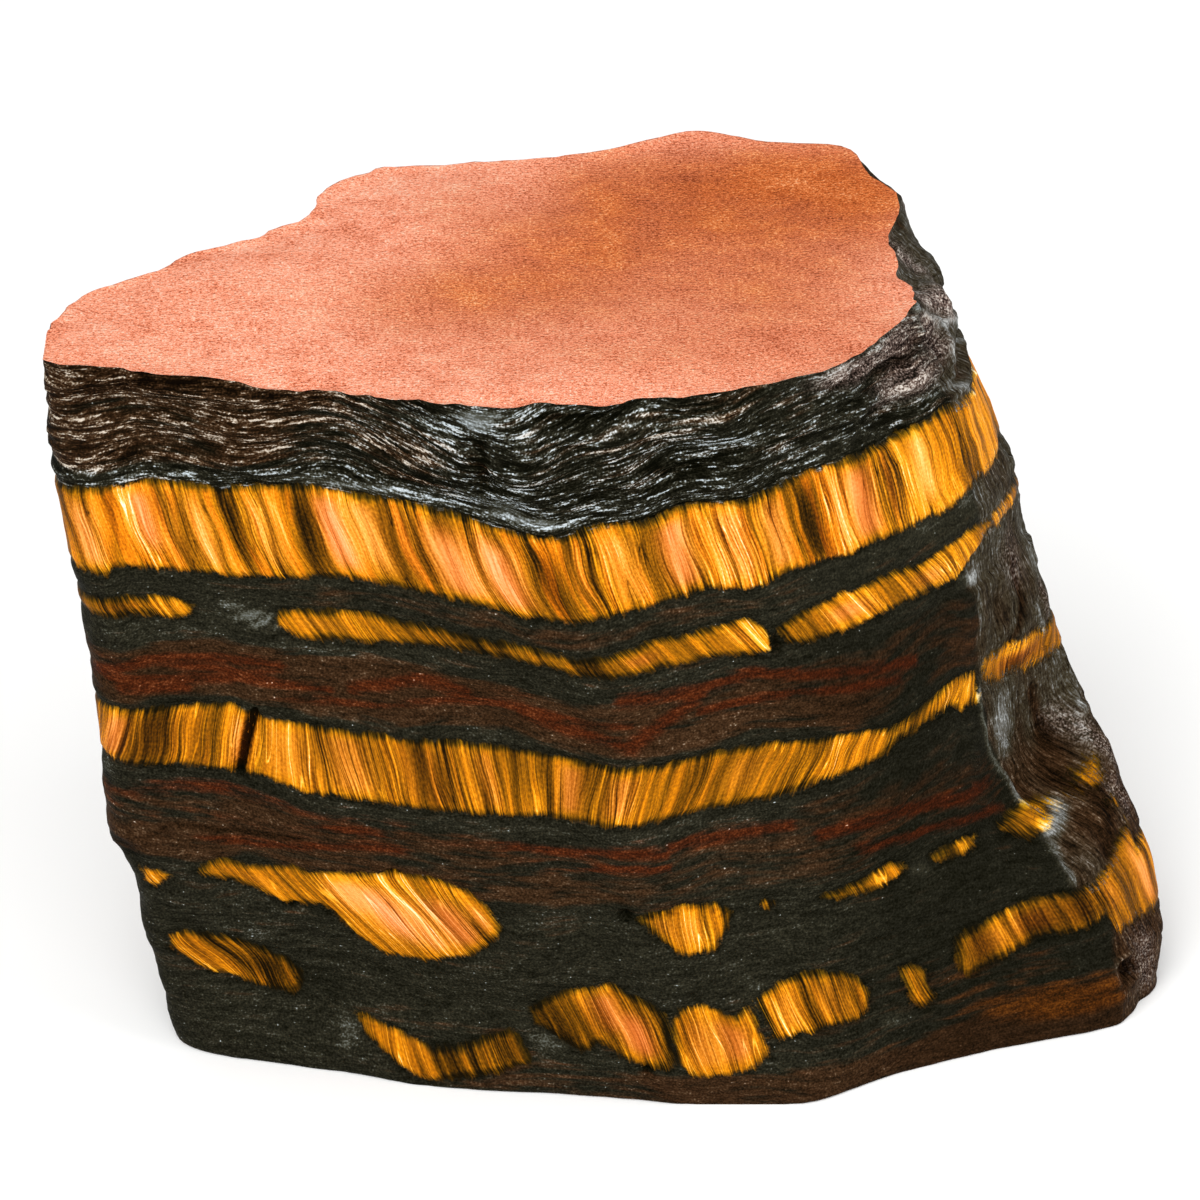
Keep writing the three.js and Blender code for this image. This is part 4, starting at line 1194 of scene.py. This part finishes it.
def rock_colour(g):
    """Bedded dark ironstone: its colour, how high each place stands, its texture and its finest grain."""
    x, y, level, red, glint, umber = g.fields("x y level red glint umber")
    around, depth, sway, ember = g.fields("u depth sway ember")

    def bed(across, up, seed, detail, rough=0.5, laid=level):
        return g.grit((g.line(x, across, seed), y * across, laid * up), detail, rough)

    crown = g.fit(level, *CROWN_LOOK)
    laid = level + sway * 0.2
    streak = bed(g.blend(crown, 0.27, 0.2), g.blend(crown, 1.8, 2.1), 9.0, 2.0, 0.62, laid)
    wrinkle = bed(g.blend(crown, 1.2, 0.85), g.blend(crown, 4.4, 5.2), 15.0, 2.0, 0.7, laid)
    grain = bed(6.5, 7.5, 27.0, 0.0)
    texture = (wrinkle * g.blend(crown, 0.5, 0.75) + streak * g.blend(crown, 0.45, 0.6)
               + grain * g.blend(crown, 0.5, 0.28))
    # painted highlights on the crown's crests, where its texture runs high
    crest_highlight = crown * g.line(texture * texture, 0.2, -0.2)
    contrast = (g.blend(crown, 0.12, g.fit(umber, 0.1, 0.7, 0.31, 0.27)) * g.fit(glint, 0.3, 1.0, 1.0, 0.35)
                * g.fit(around, 88.0, 100.0, 1.0, 0.75))
    # the painted highlights and shade lighten and darken the rock; it is darker beside the seams, painted
    # shade in their grooves; sparse pale specks are painted highlights on its grain
    shade = (g.blend(crown, *ROCK_SHADES) + (texture + crest_highlight) * contrast + glint * 0.34
             + g.fit(depth, -0.6, -0.1, 0.0, -0.08) + g.fit(grain + wrinkle * 0.6, 3.0, 5.0, 0.0, 0.4))
    browner = umber + streak * 0.2 + sway * 0.1 + glint * -0.3
    rock = g.mix(g.fit(browner, 0.2, 0.8), g.ramp(shade, SLATE), g.ramp(shade, UMBER))
    redder = red + streak * 0.16 + wrinkle * 0.06
    rock = g.mix(g.fit(redder, 0.25, 1.05, 0.0, 0.95), rock, g.ramp(shade + red * 0.03, REDDISH))
    glow = g.fit(ember + streak * 0.12, 0.15, 0.9) * 0.85
    rock = g.mix(glow, rock, g.ramp(g.line(texture, 0.12, 0.5), EMBER))
    return rock, wrinkle * g.blend(crown, *WRINKLES), texture, grain


def side_colour(g, rock, rock_height, texture, grain):
    """The rock where it is broken across its beds: hairy grooves down the right side, paler breaks on
    top. Its colour, how high each place stands, and the hair."""
    level, around, red, glint, side, pale, clump = g.fields("level u red glint side pale clump")

    def hairs(across, up, seed, detail, rough):
        return g.grit((g.line(around, across, seed), level * up), detail, rough)

    hair = hairs(3.4, 0.5, 2.0, 2.0, 0.7)
    fuzz = hairs(6.5, 2.0, 5.0, 1.0, 0.6)
    tufts = hair * 0.6 + fuzz * 0.4 + clump * 0.4 + texture * 0.45
    # the painted highlights and painted shade lighten and darken the side and, below, the pale breaks
    shade = SIDE_SHADE + tufts * g.fit(glint, 0.2, 0.9, 0.16, 0.1) + glint * 0.4
    brownest = g.fit(level, 26.0, 12.0, 0.1, 0.5) + clump * -0.35 + glint * -0.8 + 0.05
    hairy = g.mix(g.fit(brownest, 0.1, 0.7), g.ramp(shade, HAIRY), g.ramp(shade, UMBER))
    rock = g.mix(side * g.blend(red, 1.0, 0.6), rock, hairy)
    broken = BROKEN_SHADE + texture * 0.2 + grain * 0.1 + fuzz * 0.04 + glint * 0.36
    rock = g.mix(pale, rock, g.ramp(broken, BROKEN))
    height = rock_height * g.blend(side, 1.0, 0.5) + side * hair * HAIR
    return rock, height, side * hair


def rock_roughness(g):
    [glint] = g.fields("glint")
    return g.line(glint, PAINTED_LIGHT_ROUGH, ROCK_ROUGH)


def dark_ironstone():
    """The front's dark layers, away from the seams."""
    g = Graph("dark_ironstone")
    rock, height, _, _ = rock_colour(g)
    return g.stone(rock, rock_roughness(g), height)


def tiger_eye():
    """The inside of the golden seams."""
    g = Graph("tiger_eye")
    gold, height, _ = gold_colour(g)
    return g.stone(gold, GOLD_ROUGH, height)


def banded_ironstone():
    """The seams' edges, and the sides and the back: dark layers and gold in one."""
    g = Graph("banded_ironstone")
    x, y, level, depth, share, side = g.fields("x y level depth share side")
    gold, gold_height, thread = gold_colour(g)
    rock, rock_height, texture, grain = rock_colour(g)
    rock, rock_height, hair = side_colour(g, rock, rock_height, texture, grain)
    teeth = thread * g.fit(share, 0.2, 0.6, 0.035, 0.02)
    ragged = depth + teeth + grain * 0.03 + hair * 0.16 + g.grit((x * 1.3, y * 1.3, level)) * 0.08
    speck = side * g.fit(hair * 0.8 + grain * 0.6, -0.2, 1.3)
    in_seam = g.fit(ragged, -0.16, 0.2) * g.line(speck, -0.75, 1.0)
    height = g.math("SUBTRACT", 1.0, in_seam) * rock_height + in_seam * gold_height
    roughness = in_seam * (GOLD_ROUGH - ROCK_ROUGH) + rock_roughness(g)
    return g.stone(g.mix(in_seam, rock, gold), roughness, height)


def salmon_jasper():
    """The sawn top: salmon, browner towards the back."""
    g = Graph("salmon_jasper")
    x, y, brown = g.fields("x y brown")

    def sand_of(across, deep, detail, rough=0.5):
        return g.grit((x * across, y * deep), detail, rough)

    sand = sand_of(3.0, 4.4, 2.0, 0.6)
    dust = sand_of(7.5, 10.0, 0.0)
    cloud = sand_of(0.35, 0.45, 2.0, 0.7)
    soft = sand_of(0.12, 0.12, 1.0, 0.6)
    shade = TOP_SHADE + sand * 0.12 + dust * 0.08 + cloud * 0.07 + soft * 0.04 + brown * -0.05
    browner = brown + soft * 0.06 + cloud * 0.05 + sand * 0.03
    colour = g.mix(g.fit(browner, -0.2, 0.95), g.ramp(shade, SALMON), g.ramp(shade, EARTHY))
    return g.stone(colour, TOP_ROUGH, sand * SAND)


def pale_floor():
    """Plain pale paper under the stone."""
    return Graph("pale_floor").finish(linear("FCFCFB"), FLOOR_ROUGH, 0.0)


# ---------------------------------------------------------------- stage, lights and camera
FLOOR_SIZE = 6.0  # metres
WORLD_STRENGTH = 0.62
# name: place and aim in millimetres, width in metres, power in watts
LIGHTS = {
    "key": ((-260, -420, 620), (0, 0, 30), 0.5, 3.6),
    "front": ((120, -700, 260), (0, 0, 25), 0.6, 2.5),
    "right": ((560, -160, 300), (0, 0, 30), 0.4, 1.4),
}


def add_facing(name, data, place, aim):
    """Adds a light or camera at a place, in millimetres, facing another."""
    thing = bpy.data.objects.new(name, data)
    bpy.context.collection.objects.link(thing)
    thing.location = Vector(place) * MM
    thing.rotation_euler = (Vector(aim) - Vector(place)).to_track_quat("-Z", "Y").to_euler()
    return thing


def add_stage():
    bpy.ops.mesh.primitive_plane_add(size=FLOOR_SIZE, location=(0, 0, 0))
    floor = bpy.context.object
    floor.name = "floor"
    floor.data.materials.append(pale_floor())
    world = bpy.data.worlds.new("studio")
    world.use_nodes = True
    background = world.node_tree.nodes["Background"]
    background.inputs[0].default_value = (1.0, 1.0, 1.0, 1.0)
    background.inputs[1].default_value = WORLD_STRENGTH
    bpy.context.scene.world = world
    for name, (place, aim, size, power) in LIGHTS.items():
        data = bpy.data.lights.new(name, "AREA")
        data.size = size
        data.energy = power
        add_facing(name, data, place, aim)


def add_camera():
    data = bpy.data.cameras.new("camera")
    data.sensor_width = SENSOR
    data.lens = FOCAL / PHOTO * SENSOR
    data.clip_start = 0.01
    data.clip_end = 20.0
    bpy.context.scene.camera = add_facing("camera", data, EYE, TARGET)


bpy.context.scene.view_settings.view_transform = "Standard"
add_camera()
add_stage()
stone = build_stone()
for make in (banded_ironstone, dark_ironstone, tiger_eye, salmon_jasper):
    stone.data.materials.append(make())
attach(stone, "root")
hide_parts(NODE)
